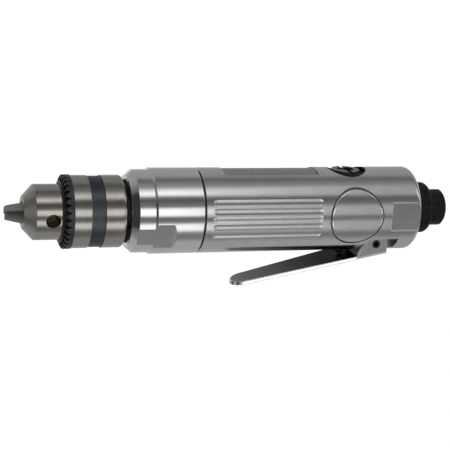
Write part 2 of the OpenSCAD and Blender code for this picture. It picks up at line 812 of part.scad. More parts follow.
module rotor() {
    color([0.48, 0.48, 0.5]) difference() {
        union() {
            rotate([180 / sun_teeth, 0, 0]) gear(x_sun, x_sun_end + cut, sun_teeth);
            rod(x_sun_end, x_stack_end + cut, rotor_shaft_r);
            rod(x_cylinder + free_gap, x_rear_plate - free_gap, rotor_r);
        }
        vane_slots(vane_t + 2 * run_gap, vane_floor, rotor_r + cut, 0);
    }
}

module rotor_vanes() {
    color([0.35, 0.22, 0.12]) vane_slots(vane_t, vane_floor + seat_gap, rotor_r - free_gap, 2 * free_gap);
}

module front_rotor_bearing_outer() {
    bearing_outer(x_spigot, rotor_bearing_w, rotor_bearing_bore / 2, rotor_bearing_r, rotor_ball_d);
}

module front_rotor_bearing_inner() {
    bearing_inner(x_spigot, rotor_bearing_w, rotor_bearing_bore / 2, rotor_bearing_r, rotor_ball_d);
}

module front_rotor_bearing_balls() {
    bearing_balls(x_spigot, rotor_bearing_w, rotor_bearing_bore / 2, rotor_bearing_r, rotor_ball_d,
        rotor_balls);
}

module rear_rotor_bearing_outer() {
    bearing_outer(x_stack_end - rotor_bearing_w, rotor_bearing_w, rotor_bearing_bore / 2, rotor_bearing_r,
        rotor_ball_d);
}

module rear_rotor_bearing_inner() {
    bearing_inner(x_stack_end - rotor_bearing_w, rotor_bearing_w, rotor_bearing_bore / 2, rotor_bearing_r,
        rotor_ball_d);
}

module rear_rotor_bearing_balls() {
    bearing_balls(x_stack_end - rotor_bearing_w, rotor_bearing_w, rotor_bearing_bore / 2, rotor_bearing_r,
        rotor_ball_d, rotor_balls);
}

// Throttle valve
module valve_plug() {
    rim_z = body_r * plug_rim_share;
    top_z = body_r * plug_top_share;
    color([0.07, 0.07, 0.07]) difference() {
        translate([x_valve, 0, 0]) rotate_extrude() polygon([[0, chamber_roof + seat_gap],
            [plug_r, chamber_roof + seat_gap], [plug_r, rim_z], [plug_r * plug_crown_share, top_z],
            [0, top_z]]);
        post(chamber_roof - cut, chamber_roof + spring_pocket, spring_r + 2 * spring_wire_r);
        valve_o_ring((chamber_roof + rim_z) / 2, plug_r, o_ring_r);
        translate([x_valve - plug_r, -plug_slot_w / 2, top_z - plug_slot_depth])
            cube([plug_d, plug_slot_w, plug_slot_depth + cut]);
    }
}

module plug_o_ring() {
    color([0.05, 0.05, 0.05])
        valve_o_ring((chamber_roof + body_r * plug_rim_share) / 2, plug_r - o_ring_r / 2, o_ring_r / 2);
}

module stem_bushing() {
    color([0.75, 0.6, 0.3]) difference() {
        post(z_flat, chamber_floor - seat_gap, bushing_r);
        post(z_flat - cut, chamber_floor + cut, stem_r + run_gap);
    }
}

module valve_stem() {
    color([0.66, 0.66, 0.67]) difference() {
        union() {
            post(z_stem_tip + stem_r, head_z + head_t, stem_r);
            translate([x_valve, 0, z_stem_tip + stem_r]) sphere(r = stem_r);
            post(head_z, head_z + head_t, head_r);
            post(head_z, head_z + head_t + guide_pin_len, guide_pin_r);
        }
        valve_o_ring((z_flat + chamber_floor) / 2, stem_r, o_ring_r);
    }
}

module valve_seal() {
    color([0.1, 0.1, 0.1]) difference() {
        post(seat_z + seat_gap, head_z - seat_gap, head_r);
        post(seat_z - cut, head_z + cut, stem_r + seat_gap);
    }
}

module stem_o_ring() {
    color([0.05, 0.05, 0.05]) valve_o_ring((z_flat + chamber_floor) / 2, stem_r - o_ring_r / 2, o_ring_r / 2);
}

module valve_spring() {
    z0 = head_z + head_t + seat_gap;
    rise = chamber_roof + spring_pocket - seat_gap - z0 - 2 * spring_wire_r;
    steps = spring_turns * spring_steps;
    points = [for (i = [0 : steps], j = [0 : spring_sides - 1])
        let (a = 360 * i / spring_steps, b = 360 * j / spring_sides, r = spring_r + spring_wire_r * cos(b))
        [r * cos(a), r * sin(a), spring_wire_r * (1 + sin(b)) + rise * i / steps]];
    faces = concat(
        [for (i = [0 : steps - 1], j = [0 : spring_sides - 1])
            let (n = (j + 1) % spring_sides, p = i * spring_sides, q = p + spring_sides)
            [p + j, p + n, q + n]],
        [for (i = [0 : steps - 1], j = [0 : spring_sides - 1])
            let (n = (j + 1) % spring_sides, p = i * spring_sides, q = p + spring_sides)
            [p + j, q + n, q + j]],
        [for (j = [1 : spring_sides - 2]) [0, j + 1, j]],
        [for (j = [1 : spring_sides - 2]) steps * spring_sides * [1, 1, 1] + [0, j, j + 1]]);
    color([0.6, 0.6, 0.62]) translate([x_valve, 0, z0]) polyhedron(points, faces);
}

// Throttle lever
module lever_plan() {
    polygon([[x_lever_tail, -lever_half], [x_lever_tail, lever_half], [x_lever_bend, lever_half],
        [x_tip_centre, tip_r], [x_tip_centre, -tip_r], [x_lever_bend, -lever_half]]);
    translate([x_tip_centre, 0]) circle(r = tip_r);
}

// Side view of the lever's sheet, bent once
module lever_profile() {
    z_end = z_lever_tip - cut * tan(lever_angle);
    polygon([[x_lever_tail, z_lever_tail - lever_sheet], [x_lever_bend, z_lever_bend - lever_sheet],
        [x_lever_tip - cut, z_end - lever_sheet], [x_lever_tip - cut, z_end],
        [x_lever_bend, z_lever_bend], [x_lever_tail, z_lever_tail]]);
}

module lever_ear() {
    intersection() {
        polygon([[x_lever_tail, z_lever_tail - lever_sheet / 2], [x_lever_tail, ear_top[1]],
            [x_lever_bend, ear_top[1]], [x_lever_bend, z_lever_bend - lever_sheet / 2]]);
        translate(ear_centre) circle(r = ear_arc_r);
    }
}

module lever() {
    color([0.8, 0.8, 0.78]) difference() {
        union() {
            intersection() {
                side(-lever_half, lever_half) lever_profile();
                translate([0, 0, -body_d]) linear_extrude(height = body_d) lever_plan();
            }
            for (s = [0, 1]) mirror([0, s, 0]) side(lever_half - lever_sheet, lever_half) lever_ear();
        }
        translate([x_pin, lever_half + cut, z_pin]) rotate([90, 0, 0])
            cylinder(h = 2 * lever_half + 2 * cut, r = pin_r + run_gap);
    }
}

module lever_pin() {
    color([0.15, 0.15, 0.15]) translate([x_pin, lever_half, z_pin]) rotate([90, 0, 0]) difference() {
        cylinder(h = 2 * lever_half, r = pin_r);
        translate([0, 0, -cut]) cylinder(h = 2 * lever_half + 2 * cut, r = pin_r * pin_bore_share);
    }
}

// Exhaust collar and air inlet
module exhaust_deflector() {
    x0 = x_rear + free_gap;
    x1 = x_nipple - free_gap;
    color([0.06, 0.06, 0.06]) difference() {
        turned(concat([[x0, collar_r - collar_wall], [x0, collar_r]],
            corner(x1 - collar_edge_r, collar_r - collar_edge_r, collar_edge_r, 90, 0),
            [[x1, shank_r + free_gap], [x1 - collar_wall, shank_r + free_gap],
            [x1 - collar_wall, collar_r - collar_edge_r], [x1 - collar_edge_r, collar_r - collar_wall]]));
        for (k = [0 : deflector_slots - 1])
            rotate([270 + (k - (deflector_slots - 1) / 2) * deflector_slot_step, 0, 0])
                translate([x0 + collar_wall, -deflector_slot_w / 2, collar_r - 2 * collar_wall])
                    cube([x1 - x0 - 2 * collar_wall - collar_edge_r, deflector_slot_w, 3 * collar_wall]);
    }
}

module silencer_felt() {
    color([0.3, 0.29, 0.27]) difference() {
        rod(x_rear + seat_gap, x_nipple - collar_wall - 2 * felt_gap - collar_edge_r,
            collar_r - collar_wall - felt_gap);
        rod(x_rear - cut, x_nipple, shank_r + felt_gap);
    }
}

module inlet_bushing() {
    x_end = x_rear - shank_grip + free_gap;
    x_ring_seat = x_rear - shank_grip / 2;
    color([0.07, 0.07, 0.07]) difference() {
        turned([[x_end, 0], [x_end, shank_r], [x_nipple, shank_r], [x_nipple, nipple_r],
            [-nipple_chamfer, nipple_r], [0, nipple_r - nipple_chamfer], [0, 0]]);
        rod(-inlet_len, cut, inlet_r);
        rod(-inlet_len - screen_t, 0, screen_r);
        rod(x_end - cut, 0, passage_r);
        o_ring(x_ring_seat, shank_r, o_ring_r);
    }
}

module inlet_o_ring() {
    color([0.05, 0.05, 0.05]) o_ring(x_rear - shank_grip / 2, shank_r - o_ring_r / 2, o_ring_r / 2);
}

module inlet_screen() {
    color([0.7, 0.65, 0.5]) difference() {
        rod(-inlet_len - screen_t + seat_gap, -inlet_len - seat_gap, screen_r - seat_gap);
        rod(-inlet_len - screen_t - cut, 0, screen_hole_r);
        around(6) translate([0, 0, screen_ring_share * screen_r])
            rod(-inlet_len - screen_t - cut, 0, screen_hole_r);
    }
}

motor_housing();
gear_case();
dust_washer();
snap_ring();
spindle_bearing_outer();
spindle_bearing_inner();
spindle_bearing_balls();
spindle();
planet_pins();
planet_gear(0);  // planet_gear_1
planet_gear(1);  // planet_gear_2
planet_gear(2);  // planet_gear_3
ring_gear();
chuck_body();
chuck_sleeve();
chuck_nut();
chuck_jaw(0);  // chuck_jaw_1
chuck_jaw(1);  // chuck_jaw_2
chuck_jaw(2);  // chuck_jaw_3
front_end_plate();
rear_end_plate();
rotor_cylinder();
cylinder_dowel();
rotor();
rotor_vanes();
front_rotor_bearing_outer();
front_rotor_bearing_inner();
front_rotor_bearing_balls();
rear_rotor_bearing_outer();
rear_rotor_bearing_inner();
rear_rotor_bearing_balls();
valve_plug();
plug_o_ring();
stem_bushing();
valve_stem();
valve_seal();
stem_o_ring();
valve_spring();
lever();
lever_pin();
exhaust_deflector();
silencer_felt();
inlet_bushing();
inlet_o_ring();
inlet_screen();
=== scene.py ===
# Straight air drill with a keyed chuck: the looks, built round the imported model.
# Lengths in the tables are in millimetres, and MM turns them into metres.
import json
import math

import bpy
from mathutils import Matrix, Vector


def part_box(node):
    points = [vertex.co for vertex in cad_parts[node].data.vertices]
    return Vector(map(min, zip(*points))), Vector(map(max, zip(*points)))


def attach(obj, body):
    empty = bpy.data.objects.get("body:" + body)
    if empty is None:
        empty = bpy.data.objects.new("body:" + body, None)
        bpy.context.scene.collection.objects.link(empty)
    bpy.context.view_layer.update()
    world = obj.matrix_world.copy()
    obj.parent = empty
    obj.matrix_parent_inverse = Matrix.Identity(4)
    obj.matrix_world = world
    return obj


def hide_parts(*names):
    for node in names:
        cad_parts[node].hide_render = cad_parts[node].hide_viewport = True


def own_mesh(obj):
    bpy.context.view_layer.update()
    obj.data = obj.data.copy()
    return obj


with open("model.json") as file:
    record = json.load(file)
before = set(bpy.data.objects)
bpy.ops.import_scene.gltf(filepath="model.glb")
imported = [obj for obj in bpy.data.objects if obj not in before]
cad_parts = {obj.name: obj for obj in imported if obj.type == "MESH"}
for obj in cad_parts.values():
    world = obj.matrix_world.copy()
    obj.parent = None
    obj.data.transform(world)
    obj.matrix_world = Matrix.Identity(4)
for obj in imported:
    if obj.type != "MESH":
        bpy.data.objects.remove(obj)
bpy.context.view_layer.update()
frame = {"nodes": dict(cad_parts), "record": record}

MM = 0.001
TOOL_AXIS = Vector((1, 0, 0))
ACROSS = Vector((0, 1, 0))
UP = Vector((0, 0, 1))

# Stations along the tool axis, from the inlet mouth forwards, with the pin's height and two radii
NIPPLE_X, REAR_X, SEAM_X, CASE_X = -7.9, -17.7, -126.4, -159.4
CHUCK_X, NOSE_X, JAW_X = -160.8, -206.7, -214.4
VALVE_X, PIN_X, PIN_Z = -51.6, -36.9, -15.4
SPIGOT_X, STACK_END_X = -118.4, -70.0
BODY_R, MOTOR_R = 20.0, 15.6

# Segments of a turned piece, the angle past which an edge stays crisp, and the step of an eased corner
FINE, COARSE = 224, 48
CRISP = math.radians(12)
ARC_STEP = math.radians(9)


# Drawing and turning

def eased(outline):
    """Corner points (a, b, radius) become a smooth line of (a, b) points."""
    line = []
    closed = outline[0][:2] == outline[-1][:2]
    if closed:
        outline = outline[:-1]
    for i, corner in enumerate(outline):
        here = Vector(corner[:2])
        radius = corner[2] if len(corner) > 2 else 0
        if not radius:
            line.append(here)
            continue
        back = (Vector(outline[i - 1][:2]) - here).normalized()
        ahead = (Vector(outline[(i + 1) % len(outline)][:2]) - here).normalized()
        half = back.angle(ahead) / 2
        middle = here + (back + ahead).normalized() * (radius / math.sin(half))
        first = here + back * (radius / math.tan(half)) - middle
        sweep = math.pi - 2 * half
        if back.x * ahead.y - back.y * ahead.x > 0:
            sweep = -sweep
        steps = max(3, math.ceil(abs(sweep) / ARC_STEP))
        for k in range(steps + 1):
            line.append(middle + Matrix.Rotation(sweep * k / steps, 2) @ first)
    return line + line[:1] if closed else line


def start_piece(name):
    """A small plane, drawn together to one corner that the outline grows from."""
    bpy.ops.object.select_all(action="DESELECT")
    bpy.ops.mesh.primitive_plane_add(size=MM)
    piece = bpy.context.object
    piece.name = piece.data.name = name
    bpy.ops.object.mode_set(mode="EDIT")
    bpy.ops.mesh.select_all(action="SELECT")
    bpy.ops.mesh.merge(type="CENTER")
    return piece


def draw_line(points):
    """Extrudes the one corner along points, in millimetres."""
    points = [Vector(p) * MM for p in points]
    bpy.ops.transform.translate(value=points[0])
    for here, there in zip(points, points[1:]):
        bpy.ops.mesh.extrude_region_move(TRANSFORM_OT_translate={"value": there - here})
    bpy.ops.mesh.select_all(action="SELECT")


def close_mesh():
    """Merges doubles, turns faces outwards and leaves edit mode."""
    bpy.ops.mesh.select_all(action="SELECT")
    bpy.ops.mesh.remove_doubles(threshold=0.0005 * MM)
    bpy.ops.mesh.normals_make_consistent(inside=False)
    bpy.ops.object.mode_set(mode="OBJECT")


def turned(name, outline, steps=FINE, axis=TOOL_AXIS, start=UP, centre=(0, 0, 0)):
    """An outline of (station, radius, easing) corners spun about an axis through centre."""
    piece = start_piece(name)
    centre = Vector(centre)
    draw_line([centre + axis * p.x + start * p.y for p in eased(outline)])
    bpy.ops.mesh.spin(steps=steps, angle=2 * math.pi, center=centre * MM, axis=axis)
    close_mesh()
    return piece


def plate(name, corners, thick):
    """A flat outline of points filled and extruded by the vector thick."""
    piece = start_piece(name)
    draw_line(corners)
    bpy.ops.mesh.edge_face_add()
    bpy.ops.mesh.extrude_region_move(TRANSFORM_OT_translate={"value": Vector(thick) * MM})
    close_mesh()
    return piece


def block(name, low, high, edge=0.0):
    """A box between two corners, its edges rounded where edge is given."""
    low, high = Vector(low), Vector(high)
    piece = plate(name, [(low.x, low.y, low.z), (high.x, low.y, low.z), (high.x, high.y, low.z),
                         (low.x, high.y, low.z)], (0, 0, high.z - low.z))
    if edge:
        soften(piece, edge, 5)
    return piece


def pick(*pieces):
    """Selects these pieces alone, the first as the active one."""
    bpy.ops.object.select_all(action="DESELECT")
    for piece in pieces:
        piece.select_set(True)
    bpy.context.view_layer.objects.active = pieces[0]


def apply_last(piece):
    """Applies the modifier that was added last."""
    pick(piece)
    bpy.ops.object.modifier_apply(modifier=piece.modifiers[-1].name)


def soften(piece, width, segments=2, angle=math.radians(30)):
    """Rounds every edge that is sharper than angle."""
    ease = piece.modifiers.new("soften", "BEVEL")
    ease.width, ease.segments = width * MM, segments
    ease.limit_method, ease.angle_limit = "ANGLE", angle
    ease.use_clamp_overlap = False
    apply_last(piece)


def cut(piece, tool, how="DIFFERENCE", finish=0):
    """Cuts, joins or keeps the common room of piece and tool, whose faces take a finish of the piece."""
    for face in tool.data.polygons:
        face.material_index = finish
    work = piece.modifiers.new("cut", "BOOLEAN")
    work.operation, work.object, work.solver = how, tool, "EXACT"
    apply_last(piece)
    bpy.data.objects.remove(tool)


def copy_of(piece, move, name):
    """A copy with its own mesh, moved by a matrix."""
    other = piece.copy()
    other.data = piece.data.copy()
    other.name = other.data.name = name
    other.data.transform(move)
    bpy.context.scene.collection.objects.link(other)
    return other


def joined(pieces):
    """Several pieces made one mesh."""
    pick(*pieces)
    bpy.ops.object.join()
    return pieces[0]


def sliced(piece, point, normal, drop):
    """Slices a piece on a plane, and may drop what lies past it and close the cut."""
    pick(piece)
    bpy.ops.object.mode_set(mode="EDIT")
    bpy.ops.mesh.select_all(action="SELECT")
    bpy.ops.mesh.bisect(plane_co=Vector(point) * MM, plane_no=normal, use_fill=drop, clear_outer=drop)
    bpy.ops.object.mode_set(mode="OBJECT")


def ring_turn(degrees):
    """Turn about the tool axis, from +Z towards -Y."""
    return Matrix.Rotation(math.radians(degrees), 4, "X")


def polished(piece, body, slot, finish, *nodes):
    """Shades a piece, gives it its finish and seats it on its body in place of CAD nodes."""
    pick(piece)
    bpy.ops.object.shade_smooth_by_angle(angle=CRISP)
    even = piece.modifiers.new("even", "WEIGHTED_NORMAL")
    even.keep_sharp = True
    apply_last(piece)
    if not piece.data.materials:
        piece.data.materials.append(finish)
    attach(piece, body)
    if nodes:
        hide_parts(*nodes)
    return piece


# Finishes

def ramp_of(tree, source, stops):
    """Colours by a number, through stops of (place, colour)."""
    ramp = tree.nodes.new("ShaderNodeValToRGB")
    marks = ramp.color_ramp.elements
    while len(marks) < len(stops):
        marks.new(0.5)
    for mark, (place, colour) in zip(marks, stops):
        mark.position = place
        mark.color = (*colour, 1)
    tree.links.new(source, ramp.inputs["Fac"])
    return ramp.outputs["Color"]


class Finish:
    """One procedural material, laid out on the piece's own coordinates."""

    def __init__(self, name, colour, metal, rough, **more):
        self.material = bpy.data.materials.new(name)
        self.material.use_nodes = True
        self.tree = self.material.node_tree
        self.nodes, self.links = self.tree.nodes, self.tree.links
        self.shader = self.nodes["Principled BSDF"]
        self.shader.inputs["Base Color"].default_value = (*colour, 1)
        self.shader.inputs["Metallic"].default_value = metal
        self.shader.inputs["Roughness"].default_value = rough
        for socket, value in more.items():
            self.shader.inputs[socket.replace("_", " ")].default_value = value
        self.place = self.nodes.new("ShaderNodeTexCoord").outputs["Object"]
        self.height = None

    def grain(self, size, stretch=(1, 1, 1), detail=4.0):
        """Noise of about size millimetres, drawn out along axes with a low stretch."""
        fit = self.nodes.new("ShaderNodeMapping")
        fit.inputs["Scale"].default_value = stretch
        noise = self.nodes.new("ShaderNodeTexNoise")
        noise.inputs["Scale"].default_value = 1 / (size * MM)
        noise.inputs["Detail"].default_value = detail
        noise.inputs["Roughness"].default_value = 0.6
        self.links.new(self.place, fit.inputs["Vector"])
        self.links.new(fit.outputs["Vector"], noise.inputs["Vector"])
        return noise.outputs["Fac"]

    def spread(self, source, low, high, start=0.3, end=0.7):
        """Maps a pattern onto numbers from low to high."""
        fit = self.nodes.new("ShaderNodeMapRange")
        for socket, value in (("From Min", start), ("From Max", end), ("To Min", low), ("To Max", high)):
            fit.inputs[socket].default_value = value
        self.links.new(source, fit.inputs["Value"])
        return fit.outputs["Result"]

    def rough_by(self, source, low, high):
        """Roughness by a pattern, from low to high."""
        self.links.new(self.spread(source, low, high), self.shader.inputs["Roughness"])

    def colour_by(self, source, *stops):
        """Colours by a pattern, through stops of (place, colour)."""
        self.links.new(ramp_of(self.tree, source, stops), self.shader.inputs["Base Color"])

    def bump_by(self, source, depth):
        """Raises the surface by a pattern, depth in millimetres."""
        bump = self.nodes.new("ShaderNodeBump")
        bump.inputs["Strength"].default_value = 1
        bump.inputs["Distance"].default_value = depth * MM
        self.links.new(source, bump.inputs["Height"])
        if self.height is not None:
            self.links.new(self.height, bump.inputs["Normal"])
        self.height = bump.outputs["Normal"]
        self.links.new(self.height, self.shader.inputs["Normal"])


def satin_aluminium():
    f = Finish("satin aluminium", (0.765, 0.785, 0.78), 1, 0.18)
    f.colour_by(f.grain(9, detail=3), (0.3, (0.735, 0.76, 0.755)), (0.7, (0.795, 0.81, 0.8)))
    f.rough_by(f.grain(1.2, (0.2, 1, 1)), 0.15, 0.21)
    f.bump_by(f.grain(0.6, (0.06, 1, 1), 2), 0.0004)
    return f.material


def flute_aluminium():
    """The flutes, a little rougher than the round of the housing."""
    f = Finish("flute aluminium", (0.76, 0.77, 0.745), 1, 0.28)
    f.colour_by(f.grain(8, detail=3), (0.3, (0.73, 0.745, 0.72)), (0.7, (0.79, 0.795, 0.77)))
    f.rough_by(f.grain(1.0, (0.2, 1, 1)), 0.22, 0.28)
    f.bump_by(f.grain(0.6, (0.05, 1, 1), 2), 0.0004)
    return f.material


def dull_aluminium_painted_shade():
    """The pads' grooves and the ears' pockets, rougher than the housing and darker with painted shade in these
    recesses.
    """
    f = Finish("dull aluminium", (0.26, 0.26, 0.25), 1, 0.42)
    f.colour_by(f.grain(1.2), (0.3, (0.2, 0.2, 0.19)), (0.7, (0.32, 0.32, 0.31)))
    f.rough_by(f.grain(0.6), 0.36, 0.5)
    f.bump_by(f.grain(0.3), 0.004)
    return f.material


def etched_panel():
    """The bare label recess, a matt panel."""
    f = Finish("etched panel", (0.5, 0.505, 0.5), 1, 0.4)
    f.colour_by(f.grain(1.6, detail=5), (0.3, (0.43, 0.435, 0.43)), (0.7, (0.58, 0.585, 0.58)))
    f.rough_by(f.grain(0.6), 0.34, 0.48)
    f.bump_by(f.grain(0.3), 0.004)
    return f.material


def chrome_case():
    f = Finish("chrome case", (0.86, 0.865, 0.87), 1, 0.08)
    f.colour_by(f.grain(12, detail=3), (0.3, (0.83, 0.84, 0.85)), (0.7, (0.89, 0.89, 0.885)))
    f.rough_by(f.grain(1.5), 0.06, 0.13)
    f.bump_by(f.grain(0.6, (1, 0.15, 0.15), 2), 0.0006)
    return f.material


def ground_steel():
    f = Finish("ground steel", (0.48, 0.46, 0.425), 1, 0.18)
    f.colour_by(f.grain(7, detail=4), (0.3, (0.45, 0.43, 0.395)), (0.7, (0.52, 0.5, 0.46)))
    f.rough_by(f.grain(0.5, (1, 0.05, 0.05)), 0.14, 0.22)
    f.bump_by(f.grain(0.22, (1, 0.02, 0.02), 2), 0.0025)
    return f.material


def turned_cone():
    """The nose cone, paler and rougher than the rest of the chuck's body."""
    f = Finish("turned cone", (0.63, 0.61, 0.575), 1, 0.42)
    f.colour_by(f.grain(7, detail=4), (0.3, (0.59, 0.57, 0.535)), (0.7, (0.67, 0.65, 0.615)))
    f.rough_by(f.grain(0.5, (1, 0.05, 0.05)), 0.36, 0.48)
    f.bump_by(f.grain(0.22, (1, 0.02, 0.02), 2), 0.0025)
    return f.material


def black_oxide():
    f = Finish("black oxide", (0.05, 0.05, 0.052), 0.6, 0.42)
    f.colour_by(f.grain(1.5), (0.3, (0.034, 0.034, 0.036)), (0.75, (0.075, 0.075, 0.077)))
    f.rough_by(f.grain(0.8), 0.34, 0.5)
    f.bump_by(f.grain(0.3), 0.006)
    return f.material


def blued_band():
    f = Finish("blued band", (0.1, 0.115, 0.122), 1, 0.3)
    f.colour_by(f.grain(4, detail=5), (0.3, (0.085, 0.098, 0.105)), (0.7, (0.125, 0.14, 0.15)))
    f.rough_by(f.grain(0.7), 0.34, 0.46)
    f.bump_by(f.grain(0.3), 0.004)
    return f.material


def oiled_bore():
    """The walls of the key holes, a dark brown metal."""
    f = Finish("oiled bore", (0.2, 0.17, 0.12), 1, 0.4)
    f.colour_by(f.grain(1.2), (0.3, (0.14, 0.115, 0.08)), (0.7, (0.26, 0.225, 0.16)))
    f.rough_by(f.grain(0.5, (1, 1, 0.2)), 0.32, 0.48)
    f.bump_by(f.grain(0.3), 0.006)
    return f.material


def jaw_steel():
    """The jaws, a matt dark grey that mirrors little."""
    f = Finish("jaw steel", (0.15, 0.15, 0.138), 0, 0.5, IOR=1.3)
    f.colour_by(f.grain(2.5, (0.3, 1, 1)), (0.3, (0.125, 0.125, 0.114)), (0.7, (0.175, 0.175, 0.16)))
    f.rough_by(f.grain(0.6, (0.2, 1, 1)), 0.42, 0.56)
    f.bump_by(f.grain(0.3, (0.1, 1, 1)), 0.006)
    return f.material


def nickel_lever():
    f = Finish("nickel lever", (0.88, 0.905, 0.87), 1, 0.16)
    f.colour_by(f.grain(10, detail=4), (0.3, (0.85, 0.88, 0.84)), (0.7, (0.91, 0.93, 0.9)))
    f.rough_by(f.grain(1.4, (0.3, 1, 1)), 0.12, 0.2)
    f.bump_by(f.grain(0.5, (0.15, 1, 1), 2), 0.001)
    return f.material


def lever_ear():
    """The flat sides of the lever's ears, the blade's nickel with painted shade, less bright than its blade."""
    f = Finish("lever ear", (0.6, 0.63, 0.59), 1, 0.3)
    f.colour_by(f.grain(6, detail=4), (0.3, (0.57, 0.6, 0.56)), (0.7, (0.63, 0.66, 0.62)))
    f.rough_by(f.grain(0.9), 0.26, 0.34)
    f.bump_by(f.grain(0.5), 0.001)
    return f.material


def lever_edge():
    """The edges and folds round the lever's ears, pale and only partly metallic."""
    f = Finish("lever edge", (0.6, 0.62, 0.59), 0.3, 0.36)
    f.colour_by(f.grain(3, detail=4), (0.3, (0.56, 0.58, 0.55)), (0.7, (0.64, 0.66, 0.63)))
    f.rough_by(f.grain(0.7), 0.3, 0.42)
    f.bump_by(f.grain(0.4), 0.001)
    return f.material


def lever_upper_painted_shade():
    """The upper side of the lever's blade, with painted shade from the housing above it, darker from the tip
    towards the pin.
    """
    f = Finish("lever upper", (0.2, 0.2, 0.195), 1, 0.3, Specular_Tint=(0.55, 0.55, 0.55, 1))
    apart = f.nodes.new("ShaderNodeSeparateXYZ")
    f.links.new(f.place, apart.inputs["Vector"])
    f.colour_by(f.spread(apart.outputs["X"], 0, 1, -106 * MM, -46 * MM),
                (0.0, (0.52, 0.525, 0.52)), (0.12, (0.37, 0.375, 0.37)), (0.35, (0.25, 0.25, 0.25)),
                (0.52, (0.13, 0.13, 0.13)), (0.75, (0.05, 0.05, 0.05)))
    f.rough_by(f.grain(1.2, (0.3, 1, 1)), 0.24, 0.36)
    f.bump_by(f.grain(0.5, (0.15, 1, 1), 2), 0.002)
    return f.material


def black_anodised():
    f = Finish("black anodised", (0.008, 0.008, 0.009), 0, 0.42, IOR=1.25)
    f.colour_by(f.grain(2.2), (0.3, (0.004, 0.004, 0.005)), (0.75, (0.014, 0.014, 0.015)))
    f.rough_by(f.grain(0.7), 0.34, 0.5)
    f.bump_by(f.grain(0.25), 0.005)
    return f.material


def plug_face():
    """The raised ring on the plug, paler than the rest of it."""
    f = Finish("plug face", (0.3, 0.3, 0.3), 1, 0.36)
    f.colour_by(f.grain(1.4), (0.3, (0.25, 0.25, 0.25)), (0.7, (0.36, 0.36, 0.355)))
    f.rough_by(f.grain(0.6), 0.3, 0.44)
    f.bump_by(f.grain(0.3), 0.003)
    return f.material


def dark_pin():
    f = Finish("dark pin", (0.06, 0.06, 0.06), 1, 0.35)
    f.colour_by(f.grain(1.2), (0.3, (0.04, 0.04, 0.04)), (0.7, (0.10, 0.10, 0.098)))
    f.rough_by(f.grain(0.5), 0.28, 0.45)
    f.bump_by(f.grain(0.25), 0.004)
    return f.material


def inner_metal(name, colour, rough):
    """Plain metal, for pieces that lie mostly inside the tool."""
    f = Finish(name, colour, 1, rough)
    darker = tuple(0.82 * c for c in colour)
    f.colour_by(f.grain(5, detail=4), (0.3, darker), (0.7, colour))
    f.rough_by(f.grain(0.6, (1, 0.1, 0.1)), rough - 0.07, rough + 0.07)
    f.bump_by(f.grain(0.25, (1, 0.05, 0.05), 2), 0.003)
    return f.material


def soft_inner(name, colour, rough, size):
    """Rubber, felt or vane composite, with a fine fleck."""
    f = Finish(name, colour, 0, rough)
    paler = tuple(min(1, 1.5 * c + 0.01) for c in colour)
    f.colour_by(f.grain(size), (0.35, colour), (0.7, paler))
    f.rough_by(f.grain(size / 2), rough - 0.1, min(1, rough + 0.1))
    f.bump_by(f.grain(size / 2), 0.02)
    return f.material


FINISHES = {
    "satin_aluminium": satin_aluminium(),
    "chrome_case": chrome_case(),
    "ground_steel": ground_steel(),
    "jaw_steel": jaw_steel(),
    "nickel_lever": nickel_lever(),
    "black_anodised": black_anodised(),
    "dark_pin": dark_pin(),
    "gear_steel": inner_metal("gear steel", (0.42, 0.42, 0.43), 0.34),
    "bright_steel": inner_metal("bright steel", (0.74, 0.74, 0.75), 0.18),
    "cast_plate": inner_metal("cast plate", (0.52, 0.52, 0.53), 0.45),
    "brass_fitting": inner_metal("brass fitting", (0.72, 0.54, 0.24), 0.3),
    "black_rubber": soft_inner("black rubber", (0.02, 0.02, 0.02), 0.7, 0.8),
    "vane_composite": soft_inner("vane composite", (0.16, 0.09, 0.045), 0.6, 1.2),
    "grey_felt": soft_inner("grey felt", (0.20, 0.19, 0.175), 0.95, 0.6),
}

# Every CAD node takes the finish of its slot, and the stem bushing a darker one
for part in frame["record"]["subparts"]:
    mesh = frame["nodes"][part["node"]].data
    mesh.materials.clear()
    mesh.materials.append(FINISHES[part["material_slot"]])
frame["nodes"]["stem_bushing"].data.materials[0] = FINISHES["dark_pin"]


# Chuck

JAW_SLOPE = math.radians(13)
JAW_CLOCKS = (36.5, 156.5, 276.5)
SLEEVE_X = NOSE_X + 16.3
SLEEVE_END_X = CHUCK_X - 0.6
BAND_X, BAND_END_X = NOSE_X + 29.0, NOSE_X + 35.5
WAIST_X, WAIST_END_X = -189.5, -184.3
NOSE_R, WAIST_R, BACK_R, CONE_LEN = 12.75, 8.84, 14.6, 4.9
SLEEVE_R, TOOTH_R, BAND_R, SLEEVE_BORE_R = 16.7, 16.95, 16.3, 13.05
JAW_R, JAW_BORE_R, KEY_HOLE_X, KEY_HOLE_R = 3.0, 3.06, NOSE_X + 12.4, 3.0
TEETH, TOOTH_LEN, TOOTH_RIM = 32, 3.7, 5


def jaw_rod(name, length, radius, steps):
    """Round bar along the first jaw's line, before it is turned to its clock place."""
    along = Vector((math.cos(JAW_SLOPE), 0, math.sin(JAW_SLOPE)))
    across = Vector((-math.sin(JAW_SLOPE), 0, math.cos(JAW_SLOPE)))
    return turned(name, [(-4, 0), (-4, radius), (length, radius), (length, 0)], steps,
                  along, across, (JAW_X, 0, 0.31))


